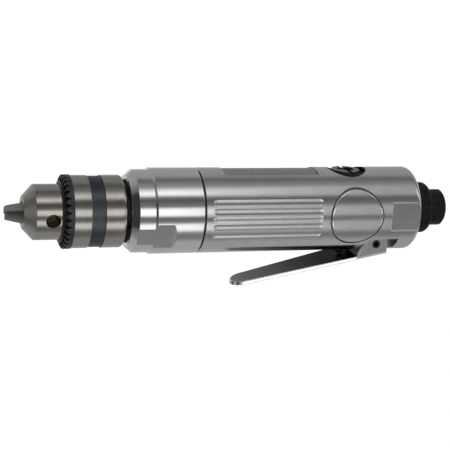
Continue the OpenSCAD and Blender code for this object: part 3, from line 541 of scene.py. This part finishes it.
def nose():
    piece = turned("chuck_nose", [
        (-176.9, 0), (-176.9, 5.05), (NOSE_X, 5.05), (NOSE_X, 7.5, 0.35), (NOSE_X + CONE_LEN, NOSE_R, 0.5),
        (WAIST_X, NOSE_R, 0.25), (WAIST_X, WAIST_R), (WAIST_END_X, WAIST_R), (WAIST_END_X, BACK_R, 0.3),
        (CHUCK_X, BACK_R, 0.8), (CHUCK_X, 4.78), (-174.4, 4.78), (-174.4, 0)])
    for finish in (FINISHES["ground_steel"], FINISHES["black_anodised"], oiled_bore(), turned_cone()):
        piece.data.materials.append(finish)
    for face in piece.data.polygons:
        if face.center.x < (NOSE_X + CONE_LEN - 0.3) * MM:
            face.material_index = 3
    bore = jaw_rod("jaw_bore", 52.7, JAW_BORE_R, COARSE)
    for k, clock in enumerate(JAW_CLOCKS):
        cut(piece, copy_of(bore, ring_turn(clock), f"jaw_bore_{k}"), finish=1)
    bpy.data.objects.remove(bore)
    hole = turned("key_drill", [
        (5.61, 0), (5.61, KEY_HOLE_R), (12.1, KEY_HOLE_R), (NOSE_R, KEY_HOLE_R + 0.4),
        (15, KEY_HOLE_R + 0.4), (15, 0)], COARSE, UP, TOOL_AXIS, (KEY_HOLE_X, 0, 0))
    for k, clock in enumerate(JAW_CLOCKS):
        cut(piece, copy_of(hole, ring_turn(clock + 60), f"key_drill_{k}"), finish=2)
    bpy.data.objects.remove(hole)
    return polished(piece, "spindle", "ground_steel", None, "chuck_body")


def sleeve():
    piece = turned("chuck_sleeve_ring", [
        (SLEEVE_X, SLEEVE_BORE_R), (SLEEVE_X + 1.8, TOOTH_R, 0.3), (SLEEVE_X + TOOTH_RIM, TOOTH_R, 0.12),
        (SLEEVE_X + TOOTH_RIM, SLEEVE_R), (BAND_X, SLEEVE_R, 0.15), (BAND_X, BAND_R), (BAND_END_X, BAND_R),
        (BAND_END_X, SLEEVE_R, 0.15), (SLEEVE_END_X, SLEEVE_R, 1.5), (SLEEVE_END_X, 14.9),
        (SLEEVE_END_X - 1, 14.9), (SLEEVE_END_X - 1, 15.5), (WAIST_END_X, 15.5), (WAIST_END_X, 13.6),
        (WAIST_X, 13.6), (WAIST_X, SLEEVE_BORE_R), (SLEEVE_X, SLEEVE_BORE_R)])
    for finish in (FINISHES["ground_steel"], black_oxide(), blued_band(), FINISHES["black_anodised"]):
        piece.data.materials.append(finish)
    half, root = math.pi * TOOTH_R / TEETH, 14.3
    notch = plate("key_notch", [(SLEEVE_X - 1, -half, root), (SLEEVE_X - 1, half, root), (SLEEVE_X, half, root),
                                (SLEEVE_X + TOOTH_LEN, 0, root), (SLEEVE_X, -half, root)], (0, 0, 6))
    for first in (0, 1):
        cut(piece, joined([copy_of(notch, ring_turn(360 * k / TEETH), f"key_notch_{k}")
                           for k in range(first, TEETH, 2)]), finish=3)
    bpy.data.objects.remove(notch)
    for face in piece.data.polygons:
        x = face.center.x / MM
        radius = math.hypot(face.center.y, face.center.z) / MM
        if face.material_index == 0 and x < SLEEVE_X + TOOTH_RIM + 0.05:
            face.material_index = 1
        elif BAND_X - 0.01 < x < BAND_END_X + 0.01 and radius < SLEEVE_R - 0.1:
            face.material_index = 2
    return polished(piece, "chuck_sleeve", "ground_steel", None, "chuck_sleeve")


def flat_cutter(depth, start, end, run_out):
    """Cutter for a wrench flat at depth over the axis, easing into the round at its sides."""
    half = math.sqrt(BODY_R ** 2 - depth ** 2)
    far, fall = 25, depth / half
    low = depth - (far - half) / fall
    side = eased([(-far, low), (-half, depth, 3.2), (half, depth, 3.2), (far, low), (far, 40), (-far, 40)])
    piece = plate("flat_cutter", [(start, y, z) for y, z in side], (end - start, 0, 0))
    soften(piece, run_out, 5, math.radians(60))
    return piece


def jaws():
    first = jaw_rod("jaw_bar", 31.3, JAW_R, 96)
    sliced(first, (JAW_X, 0, 0), (-1, 0, 0), drop=True)
    for lean in (-1, 1):
        wall = Vector((0, lean * math.cos(math.radians(30)), -math.sin(math.radians(30))))
        sliced(first, (0, lean * 0.075, 0.13), wall, drop=True)
    soften(first, 0.18, 2, math.radians(40))
    for k, clock in enumerate(JAW_CLOCKS):
        name = f"chuck_jaw_{k + 1}"
        polished(copy_of(first, ring_turn(clock), f"{name}_steel"), name, "jaw_steel",
                 FINISHES["jaw_steel"], name)
    bpy.data.objects.remove(first)


# Gear case

STEP_X, CASE_R = CASE_X + 10.3, 19.3
CASE_FLAT, CASE_FLAT_END_X, CASE_FLAT_SIDES = 18.75, -138.9, (116, 296)
SPIGOT_R, RING_SEAT_R, BEARING_SEAT_R = 17.9, 14.6, 14.03


def case():
    piece = turned("gear_case_shell", [
        (CASE_X + 2.5, BEARING_SEAT_R), (CASE_X + 2.5, 14.63), (CASE_X, 14.63, 0.25), (CASE_X, 16.5, 0.3),
        (CASE_X + 3, CASE_R, 0.5), (STEP_X, CASE_R), (STEP_X + 0.9, BODY_R, 0.25), (SEAM_X, BODY_R, 0.3),
        (SEAM_X, SPIGOT_R), (SPIGOT_X, SPIGOT_R, 0.3), (SPIGOT_X, MOTOR_R), (-134.0, MOTOR_R),
        (-134.0, RING_SEAT_R), (-145.2, RING_SEAT_R), (-145.2, 12.2), (-147.2, 12.2),
        (-147.2, BEARING_SEAT_R), (CASE_X + 2.5, BEARING_SEAT_R)])
    flat = flat_cutter(CASE_FLAT, CASE_X - 6, CASE_FLAT_END_X, 2.0)
    for k, side in enumerate(CASE_FLAT_SIDES):
        cut(piece, copy_of(flat, ring_turn(side), f"flat_cutter_{k}"))
    bpy.data.objects.remove(flat)
    for finish in (FINISHES["chrome_case"], FINISHES["dark_pin"]):
        piece.data.materials.append(finish)
    for face in piece.data.polygons:
        radius = math.hypot(face.center.y, face.center.z) / MM
        if face.center.x > (SEAM_X - 0.01) * MM and radius < SPIGOT_R + 0.6:
            face.material_index = 1
    return polished(piece, "housing", "chrome_case", None, "gear_case")


# Motor housing

FLUTE_X, FLUTE_END_X, FLUTE_R, FLUTE_DEPTH, FLUTES, FLUTE_STEP = -122.3, -68.7, 5.5, 0.32, 5, 11


def cut_flutes(piece):
    """Shallow round-ended flutes on both sides."""
    reach = math.sqrt(FLUTE_R ** 2 - (FLUTE_R - FLUTE_DEPTH) ** 2)
    bow = [(FLUTE_R * math.cos(math.radians(a)), FLUTE_R * math.sin(math.radians(a))) for a in range(0, 91, 3)]
    line = [(FLUTE_X + reach - a, b) for a, b in bow] + [(FLUTE_END_X - reach + a, b) for a, b in reversed(bow)]
    first = turned("flute_cutter", line, 180)
    first.data.transform(Matrix.Translation((0, 0, (BODY_R - FLUTE_DEPTH + FLUTE_R) * MM)))
    for side in (90, 270):
        for k in range(FLUTES):
            turn = side + FLUTE_STEP * (k - (FLUTES - 1) / 2)
            cut(piece, copy_of(first, ring_turn(turn), f"flute_cutter_{k}"), finish=3)
    bpy.data.objects.remove(first)


def arc_points(centre, radius, a0, a1, steps=24):
    return [(centre[0] + radius * math.cos(math.radians(a0 + (a1 - a0) * k / steps)),
             centre[1] + radius * math.sin(math.radians(a0 + (a1 - a0) * k / steps))) for k in range(steps + 1)]


EAR_CENTRE, POCKET_R, POCKET_ROOF, POCKET_REAR = (-32.6, -24.1), 15.5, -11.6, -27.9
RECESS_X, RECESS_END_X, RECESS_HALF, RECESS_R = -114.4, -67.9, 8.3, 19.5
PAD_R, PAD_RISE, GROOVE_WIDE, GROOVE_R = 13.0, 0.4, 0.65, 19.55
UNDER_X, UNDER_HEEL_X, UNDER_Z, RUN_OUT_R = -109.4, -35.4, -18.8, 12
REAR_FLAT, REAR_FLAT_X = 18.8, -33.8
PLUG_HOLE_R, PLUG_MOUTH_R, STEM_HOLE_R, PIN_HOLE_R = 9.23, 9.75, 4.53, 2.03


def housing():
    piece = turned("housing_shell", [
        (REAR_X - 10, 0), (REAR_X - 10, 6.93), (REAR_X, 6.93, 0.3), (REAR_X, BODY_R, 3.2),
        (SEAM_X + 0.8, BODY_R, 0.4), (SEAM_X + 0.8, 17.93), (SPIGOT_X, 17.93), (SPIGOT_X, MOTOR_R),
        (STACK_END_X, MOTOR_R), (STACK_END_X, 0)])
    for finish in (FINISHES["satin_aluminium"], etched_panel(), FINISHES["dark_pin"], flute_aluminium(),
                   dull_aluminium_painted_shade()):
        piece.data.materials.append(finish)
    cut_flutes(piece)

    # Label recess on the top
    recess = turned("recess_cutter", [
        (RECESS_X, RECESS_R), (RECESS_END_X, RECESS_R), (RECESS_END_X, 26), (RECESS_X, 26),
        (RECESS_X, RECESS_R)])
    window = block("recess_window", (RECESS_X - 5, -RECESS_HALF, 5), (RECESS_END_X + 5, RECESS_HALF, 40))
    cut(recess, window, "INTERSECT")
    cut(piece, recess, finish=1)

    # Groove round each side pad
    for side in (-1, 1):
        outer = PAD_R + GROOVE_WIDE
        ring = turned("pad_groove", [(12, PAD_R), (12, outer), (30, outer), (30, PAD_R), (12, PAD_R)], 128,
                      ACROSS * side, UP, (VALVE_X, 0, 0))
        cut(ring, turned("groove_floor", [(-80, 0), (-80, GROOVE_R), (-20, GROOVE_R), (-20, 0)]))
        # The groove's faces take painted shade.
        cut(piece, ring, finish=4)

    # Flat under the housing, with the cutter's run-out in front and the sloped heel behind
    side = [(UNDER_X, UNDER_Z), (UNDER_HEEL_X, UNDER_Z), (POCKET_REAR, -17.41), (POCKET_REAR, -30)]
    side += [(UNDER_X + RUN_OUT_R * math.cos(a), UNDER_Z - RUN_OUT_R + RUN_OUT_R * math.sin(a))
             for a in (math.radians(d) for d in range(180, 90, -6))]
    cut(piece, plate("under_cutter", [(x, -30, z) for x, z in side], (0, 60, 0)))

    # Pockets for the lever's ears
    front = arc_points(EAR_CENTRE, POCKET_R, 126.2, 215)
    side = [(POCKET_REAR, -40), (POCKET_REAR, POCKET_ROOF)] + front
    for y in (-30, 9):
        # The pockets' faces take painted shade.
        cut(piece, plate("pocket_cutter", [(x, y, z) for x, z in side], (0, 21, 0)), finish=4)

    # Rear wrench flats
    flat = flat_cutter(REAR_FLAT, REAR_FLAT_X, REAR_X + 5, 0.8)
    for k, side in enumerate((90, 270)):
        cut(piece, copy_of(flat, ring_turn(side), f"flat_cutter_{k}"))
    bpy.data.objects.remove(flat)

    # Valve hole with its countersunk mouth, stem hole and pin hole
    cut(piece, turned("valve_drill", [
        (-6.8, 0), (-6.8, 7), (8, 7), (8, PLUG_HOLE_R), (16.8, PLUG_HOLE_R), (17.6, PLUG_MOUTH_R),
        (30, PLUG_MOUTH_R), (30, 0)], 96, UP, TOOL_AXIS, (VALVE_X, 0, 0)), finish=2)
    cut(piece, turned("stem_drill", [
        (-25, 0), (-25, STEM_HOLE_R), (-9, STEM_HOLE_R), (-9, 4.2), (-6, 4.2), (-6, 0)],
        COARSE, UP, TOOL_AXIS, (VALVE_X, 0, 0)), finish=2)
    cut(piece, turned("pin_drill", [(-30, 0), (-30, PIN_HOLE_R), (30, PIN_HOLE_R), (30, 0)],
                      COARSE, ACROSS, UP, (PIN_X, 0, PIN_Z)))
    return polished(piece, "housing", "satin_aluminium", None, "motor_housing")


def side_pads():
    """Round raised pads that follow the housing's round."""
    for side, name in ((-1, "side_pad_near"), (1, "side_pad_far")):
        piece = turned(name, [(0, r * 0.8) for r in range(16)] + [
            (0, 12.45), (-0.06, 12.75), (-0.2, 12.93), (-0.4, PAD_R), (-1.2, PAD_R), (-1.2, 11),
            (-1.2, 6), (-1.2, 0)], 128, ACROSS * side, UP, (VALVE_X, 0, 0))
        for corner in piece.data.vertices:
            out = corner.co.y * side / MM
            round_r = BODY_R + PAD_RISE + out
            corner.co.y = side * math.sqrt(round_r ** 2 - (corner.co.z / MM) ** 2) * MM
        polished(piece, "housing", "satin_aluminium", FINISHES["satin_aluminium"], "motor_housing")


# Throttle

PLUG_R, PLUG_FLOOR, SLOT_HALF = 9.2, 18.2, 1


def plug():
    piece = turned("valve_plug_cap", [
        (12, 0), (12, 4.2), (8.03, 4.2), (8.03, PLUG_R, 0.3), (17.8, PLUG_R, 0.35), (18.55, 7.4),
        (18.15, 7.15, 0.15), (18.15, 6.95), (19.45, 6.7, 0.4), (19.6, 4.1, 0.2), (PLUG_FLOOR, 3.9),
        (PLUG_FLOOR, 0)], 128, UP, TOOL_AXIS, (VALVE_X, 0, 0))
    for finish in (FINISHES["black_anodised"], plug_face()):
        piece.data.materials.append(finish)
    cut(piece, block("slot_cutter", (VALVE_X - SLOT_HALF, -9.3, PLUG_FLOOR), (VALVE_X + SLOT_HALF, 9.3, 24)))
    for face in piece.data.polygons:
        radius = math.hypot(face.center.x / MM - VALVE_X, face.center.y / MM)
        if face.center.z > 18.7 * MM and 4.0 < radius < 6.75:
            face.material_index = 1
    return polished(piece, "housing", "black_anodised", None, "valve_plug")


SPRING_R, SPRING_WIRE, SPRING_TURNS, VALVE_TRAVEL = 3.2, 0.5, 6, 3.15


def spring():
    """Coil between the valve's head and the plug, as tall as the CAD spring's box; the mesh does not shorten as
    the valve lifts.
    """
    low, high = (Vector(corner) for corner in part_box("valve_spring"))
    height = high.z - low.z
    piece = start_piece("valve_spring_coil")
    draw_line([(SPRING_R + SPRING_WIRE * math.cos(math.radians(a)), 0, SPRING_WIRE * math.sin(math.radians(a)))
               for a in range(0, 361, 30)])
    close_mesh()
    coil = piece.modifiers.new("coil", "SCREW")
    coil.axis, coil.iterations = "Z", SPRING_TURNS
    coil.screw_offset = (height - 2 * SPRING_WIRE * MM) / SPRING_TURNS
    coil.steps = coil.render_steps = COARSE
    apply_last(piece)
    bpy.ops.object.mode_set(mode="EDIT")
    bpy.ops.mesh.select_all(action="SELECT")
    bpy.ops.mesh.fill_holes(sides=0)
    bpy.ops.mesh.select_all(action="SELECT")
    bpy.ops.transform.translate(value=(VALVE_X * MM, 0, low.z + SPRING_WIRE * MM))
    close_mesh()
    polished(piece, "housing", "bright_steel", FINISHES["bright_steel"], "valve_spring")
    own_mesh(piece)


LEVER_HALF, LEVER_SHEET, EDGE_LEAN, FOLD_R = 11.2, 1.8, 0.38, 1.6
TAIL_X, BEND_X, TIP_X = -31.1, -45.9, -106.4
TAIL_Z, BEND_Z, TIP_Z = -18.61, -21.35, -34.65
TIP_ROUND_X, TIP_R, EAR_R, EAR_TOP_Z = -99.4, 7, 13.6, -12.6
LEVER_EASE, LEVER_SHARP = 0.3, math.radians(35)
FACES_UP, FACES_SIDE, LARGE_FACE = 0.93, 0.999, 4 * MM * MM
PIN_R, PIN_BORE_R, EAR_HOLE_R = 2.0, 1.1, 2.06


def lever():
    """Bent sheet: a long tapering blade and two ears, folded up at the pin."""
    slope = (TIP_Z - BEND_Z) / (TIP_X - BEND_X)
    tip = [(TIP_ROUND_X + TIP_R * math.cos(math.radians(a)), TIP_R * math.sin(math.radians(a)))
           for a in range(90, 271, 9)]
    plan = [(TAIL_X, -LEVER_HALF), (TAIL_X, LEVER_HALF), (BEND_X, LEVER_HALF)] + tip + [(BEND_X, -LEVER_HALF)]
    outline = plate("lever_outline", [(x, y, -50) for x, y in plan], (0, 0, 45))
    side = [(TAIL_X + 1, TAIL_Z + 0.185), (BEND_X, BEND_Z), (TIP_X - 1, TIP_Z - slope)]
    side += [(x, z - LEVER_SHEET) for x, z in reversed(side)]
    piece = plate("throttle_lever", [(x, -15, z) for x, z in side], (0, 30, 0))
    cut(piece, outline, "INTERSECT")

    # The sheared edge leans in towards the upper side
    sliced(piece, (BEND_X - 1.5, 0, 0), TOOL_AXIS, drop=False)
    for corner in piece.data.vertices:
        x, y, z = corner.co / MM
        if x < BEND_X - 1.4:
            height = (z - BEND_Z - slope * (x - BEND_X)) / LEVER_SHEET + 1
            out = Vector((min(0, x - TIP_ROUND_X), y)).normalized() * EDGE_LEAN * max(0, height)
            corner.co -= Vector((out.x, out.y, out.x * slope)) * MM
    soften(piece, LEVER_EASE, 3, LEVER_SHARP)

    # Ears, a hair proud of the blade
    proud = 0.02
    low = BEND_Z - LEVER_SHEET - proud
    ear = [(TAIL_X + proud, TAIL_Z - LEVER_SHEET - proud), (TAIL_X + proud, EAR_TOP_Z)]
    ear += arc_points(EAR_CENTRE, EAR_R, 122.2, 168.2, 14) + [(BEND_X, low)]
    for side in (-1, 1):
        wing = plate("lever_ear", [(x, side * (LEVER_HALF + proud), z) for x, z in ear],
                     (0, -side * LEVER_SHEET, 0))
        soften(wing, LEVER_EASE, 3, LEVER_SHARP)
        cut(piece, wing, "UNION")

    # Folds under the ears
    low -= proud
    rise, length = (TAIL_Z - BEND_Z) / (TAIL_X - BEND_X), TAIL_X + 1 - BEND_X
    wide = LEVER_HALF + 2 * proud
    for side in (-1, 1):
        fold = eased([(wide + 1, low - 1), (wide + 1, low + FOLD_R + 1), (wide, low + FOLD_R + 1),
                      (wide, low, FOLD_R), (wide - FOLD_R - 1, low), (wide - FOLD_R - 1, low - 1)])
        cut(piece, plate("fold_cutter", [(BEND_X, side * y, z) for y, z in fold], (length, 0, length * rise)))

    for finish in (FINISHES["nickel_lever"], lever_upper_painted_shade(), lever_ear(), lever_edge()):
        piece.data.materials.append(finish)
    # Large upward faces of the blade take the painted shade of its upper side.
    for face in piece.data.polygons:
        if face.normal.z > FACES_UP and face.center.x < BEND_X * MM and face.area > LARGE_FACE:
            face.material_index = 1
        # Past the bend, the flat sides of the ears take painted shade, the rest the edge finish.
        elif face.center.x > (BEND_X - 0.5) * MM:
            face.material_index = 2 if abs(face.normal.y) > FACES_SIDE else 3
    cut(piece, turned("pin_drill", [(-15, 0), (-15, EAR_HOLE_R), (15, EAR_HOLE_R), (15, 0)],
                      COARSE, ACROSS, UP, (PIN_X, 0, PIN_Z)))
    return polished(piece, "lever", "nickel_lever", None, "lever")


def pin():
    piece = turned("lever_pin_tube", [
        (-LEVER_HALF, PIN_BORE_R, 0.2), (-LEVER_HALF, PIN_R, 0.3), (LEVER_HALF, PIN_R, 0.3),
        (LEVER_HALF, PIN_BORE_R, 0.2), (-LEVER_HALF, PIN_BORE_R, 0.2)],
        COARSE, ACROSS, UP, (PIN_X, 0, PIN_Z))
    return polished(piece, "housing", "dark_pin", FINISHES["dark_pin"], "lever_pin")


# Exhaust collar and air inlet

COLLAR_R, COLLAR_BORE_R, COLLAR_LIP_R, OUTLET_CLOCKS = 12.4, 11.2, 7.2, (246, 270, 294)
BUSHING_X, BUSHING_R, BUSHING_BORE_R, NIPPLE_R = -27.4, 6.9, 4.0, 8.8
THREAD_X, THREAD_END_X, THREAD_PITCH, THREAD_BORE_R, THREAD_ROOT_R = -11.4, -1.2, 0.94, 5.7, 6.1


def collar():
    start, end = REAR_X + 0.3, NIPPLE_X - 0.3
    piece = turned("exhaust_collar", [
        (start, COLLAR_BORE_R, 0.2), (start, COLLAR_R, 0.4), (end, COLLAR_R, 2.5), (end, COLLAR_LIP_R, 0.2),
        (end - 1.2, COLLAR_LIP_R), (end - 1.2, 9.9), (end - 2.5, COLLAR_BORE_R), (start, COLLAR_BORE_R, 0.2)])
    slot = block("outlet_cutter", (start + 1.2, -1, 10), (end - 3.7, 1, 14), 0.45)
    for k, clock in enumerate(OUTLET_CLOCKS):
        cut(piece, copy_of(slot, ring_turn(clock), f"outlet_cutter_{k}"))
    bpy.data.objects.remove(slot)
    return polished(piece, "exhaust_deflector", "black_anodised", FINISHES["black_anodised"],
                    "exhaust_deflector")


def nipple():
    thread = []
    x = THREAD_X
    while x < THREAD_END_X:
        thread += [(x, THREAD_BORE_R), (x + 0.35, THREAD_ROOT_R), (x + 0.7, THREAD_BORE_R)]
        x += THREAD_PITCH
    piece = turned("inlet_nipple", [
        (BUSHING_X, BUSHING_BORE_R), (BUSHING_X, BUSHING_R, 0.4), (-23.4, BUSHING_R), (-22.9, 6.1),
        (-22.5, 6.1), (-22.0, BUSHING_R), (NIPPLE_X, BUSHING_R), (NIPPLE_X, NIPPLE_R, 0.3),
        (-0.8, NIPPLE_R, 0.2), (0, 8.0, 0.2), (0, 6.3, 0.15), (-0.7, THREAD_BORE_R)] + thread[::-1] + [
        (-12, THREAD_BORE_R), (-12, 4.85), (-13, 4.85), (-13, BUSHING_BORE_R),
        (BUSHING_X, BUSHING_BORE_R)], 160)
    return polished(piece, "housing", "black_anodised", FINISHES["black_anodised"], "inlet_bushing")


nose()
sleeve()
jaws()
case()
housing()
side_pads()
plug()
spring()
lever()
pin()
collar()
nipple()


# Studio: a pale floor, a white surround and a tent of bright and dark bands that the metal mirrors

FLOOR_SIZE, FLOOR_Z, FLOOR_COLOUR, FLOOR_GLOW = 8, -0.2, (0.86, 0.86, 0.86), 0.3
SURROUND_LIGHT, SURROUND_MIRRORED, SURROUND_SEEN = 0.85, 0.4, 1.0
TENT_R, TENT_LEN = 1.5, 12


def reckoned(tree, how, *terms):
    """Result of a math node on numbers and other nodes' outputs."""
    node = tree.nodes.new("ShaderNodeMath")
    node.operation = how
    for socket, term in zip(node.inputs, terms):
        if isinstance(term, (int, float)):
            socket.default_value = term
        else:
            tree.links.new(term, socket)
    return node.outputs["Value"]


def looked_at(tree, *rays):
    """One where any of these rays meets the surface, and nought for the rest of the light."""
    seen = tree.nodes.new("ShaderNodeLightPath")
    total = seen.outputs[rays[0]]
    for ray in rays[1:]:
        total = reckoned(tree, "MAXIMUM", total, seen.outputs[ray])
    return total


def bare_material(name):
    """A material without its usual shader."""
    material = bpy.data.materials.new(name)
    material.use_nodes = True
    tree = material.node_tree
    tree.nodes.remove(tree.nodes["Principled BSDF"])
    return material, tree


def floor_finish(colour, white_share):
    """Matt pale floor, brighter where the camera looks at it."""
    material, tree = bare_material("floor")
    matt = tree.nodes.new("ShaderNodeBsdfDiffuse")
    matt.inputs["Color"].default_value = (*colour, 1)
    glow = tree.nodes.new("ShaderNodeEmission")
    seen = looked_at(tree, "Is Camera Ray", "Is Glossy Ray", "Is Transmission Ray")
    tree.links.new(reckoned(tree, "MULTIPLY", seen, white_share), glow.inputs["Strength"])
    both = tree.nodes.new("ShaderNodeAddShader")
    tree.links.new(matt.outputs["BSDF"], both.inputs[0])
    tree.links.new(glow.outputs["Emission"], both.inputs[1])
    tree.links.new(both.outputs["Shader"], tree.nodes["Material Output"].inputs["Surface"])
    return material


TENT_PEAK = 1.2

# The most that the tent has at each place along the tool, in metres
TENT_ENDS = [(-6, 0.1), (-5.2, 0.035), (-2.75, 0.035), (-2.35, 0.15), (-2.0, 0.19), (-1.5, 0.3), (-1.0, 0.6),
             (-0.6, 1.2), (0.28, 1.2), (0.335, 0.84), (0.4, 0.6), (0.47, 0.5), (0.535, 0.42), (0.68, 0.34),
             (0.82, 0.34), (1.05, 1.0), (6, 1.0)]

# Brightness of the tent by angle in degrees: 0 in front of the tool, 90 over it, 180 behind it
TENT = [(-180, 0.65), (-150, 0.46), (-114, 0.365), (-82, 0.37), (-66, 0.205), (-60, 0.172), (-53, 0.22),
        (-47, 0.36), (-38, 1.12), (-28, 1.15), (-24, 0.78), (-19, 0.24), (-12, 0.145), (-6.5, 0.16),
        (-3, 0.5), (1, 1.1), (6, 1.2), (14, 1.2), (18, 0.8), (22.5, 0.22), (30, 0.15), (40, 0.092),
        (48, 0.2), (53, 0.72), (59, 1.1), (66, 0.86), (78, 0.3), (98, 0.143), (105, 0.15), (117, 0.3),
        (165, 0.335), (174, 0.73)]


def tent():
    """A long round tent along the tool, seen only in reflections."""
    bpy.ops.object.select_all(action="DESELECT")
    bpy.ops.mesh.primitive_cylinder_add(vertices=96, radius=TENT_R, depth=TENT_LEN, end_fill_type="NOTHING",
                                        rotation=(0, math.pi / 2, 0))
    bpy.ops.object.transform_apply(rotation=True)
    piece = bpy.context.object
    piece.name = "tent"
    material, tree = bare_material("tent")
    place = tree.nodes.new("ShaderNodeTexCoord")
    apart = tree.nodes.new("ShaderNodeSeparateXYZ")
    tree.links.new(place.outputs["Object"], apart.inputs["Vector"])
    angle = reckoned(tree, "ARCTAN2", apart.outputs["Z"], reckoned(tree, "MULTIPLY", apart.outputs["Y"], -1))

    def graded(source, low, high, stops):
        """Brightness by a number that runs from low to high."""
        share = tree.nodes.new("ShaderNodeMapRange")
        share.inputs["From Min"].default_value, share.inputs["From Max"].default_value = low, high
        tree.links.new(source, share.inputs["Value"])
        return ramp_of(tree, share.outputs["Result"],
                       [((at - low) / (high - low), (level / TENT_PEAK,) * 3) for at, level in stops])

    turn = [(math.radians(degrees), level) for degrees, level in TENT]
    least = reckoned(tree, "MINIMUM", graded(angle, -math.pi, math.pi, turn),
                     graded(apart.outputs["X"], TENT_ENDS[0][0], TENT_ENDS[-1][0], TENT_ENDS))
    glow = tree.nodes.new("ShaderNodeEmission")
    tree.links.new(reckoned(tree, "MULTIPLY", least, TENT_PEAK), glow.inputs["Strength"])
    tree.links.new(glow.outputs["Emission"], tree.nodes["Material Output"].inputs["Surface"])
    piece.data.materials.append(material)
    piece.visible_camera = piece.visible_diffuse = piece.visible_shadow = piece.visible_transmission = False


bpy.ops.object.select_all(action="DESELECT")
bpy.ops.mesh.primitive_plane_add(size=FLOOR_SIZE, location=(0, 0, FLOOR_Z))
floor = bpy.context.object
floor.name = "floor"
floor.data.materials.append(floor_finish(FLOOR_COLOUR, FLOOR_GLOW))
floor.visible_glossy = False
tent()

world = bpy.data.worlds.new("studio")
bpy.context.scene.world = world
world.use_nodes = True
nodes, links = world.node_tree.nodes, world.node_tree.links
around_light = nodes["Background"]
around_light.inputs["Color"].default_value = (1, 1, 1, 1)
around_light.inputs["Strength"].default_value = SURROUND_LIGHT
shown = around_light.outputs["Background"]
for rays, level in ((("Is Glossy Ray",), SURROUND_MIRRORED),
                    (("Is Camera Ray", "Is Transmission Ray"), SURROUND_SEEN)):
    plain = nodes.new("ShaderNodeBackground")
    plain.inputs["Color"].default_value = (1, 1, 1, 1)
    plain.inputs["Strength"].default_value = level
    choose = nodes.new("ShaderNodeMixShader")
    links.new(looked_at(world.node_tree, *rays), choose.inputs["Fac"])
    links.new(shown, choose.inputs[1])
    links.new(plain.outputs["Background"], choose.inputs[2])
    shown = choose.outputs["Shader"]
links.new(shown, nodes["World Output"].inputs["Surface"])

# Camera at the photograph's angle
ELEVATION, YAW, ROLL = (math.radians(a) for a in (14.0, 17.99, 3.55))
TARGET, DISTANCE = Vector((-110.36, 0, -7.52)) * MM, 641.5 * MM
LENS, SENSOR = 108.72, 36
back = Vector((-math.sin(YAW) * math.cos(ELEVATION), -math.cos(YAW) * math.cos(ELEVATION), math.sin(ELEVATION)))
right = Vector((math.cos(YAW), -math.sin(YAW), 0))
above = right.cross(-back)
right, above = (math.cos(ROLL) * right + math.sin(ROLL) * above,
                -math.sin(ROLL) * right + math.cos(ROLL) * above)
camera_data = bpy.data.cameras.new("camera")
camera_data.lens, camera_data.sensor_width = LENS, SENSOR
camera = bpy.data.objects.new("camera", camera_data)
turn_to = Matrix((right, above, back)).transposed().to_4x4()
camera.matrix_world = Matrix.Translation(TARGET + back * DISTANCE) @ turn_to
bpy.context.scene.collection.objects.link(camera)
bpy.context.scene.camera = camera
bpy.context.scene.view_settings.view_transform = "Standard"
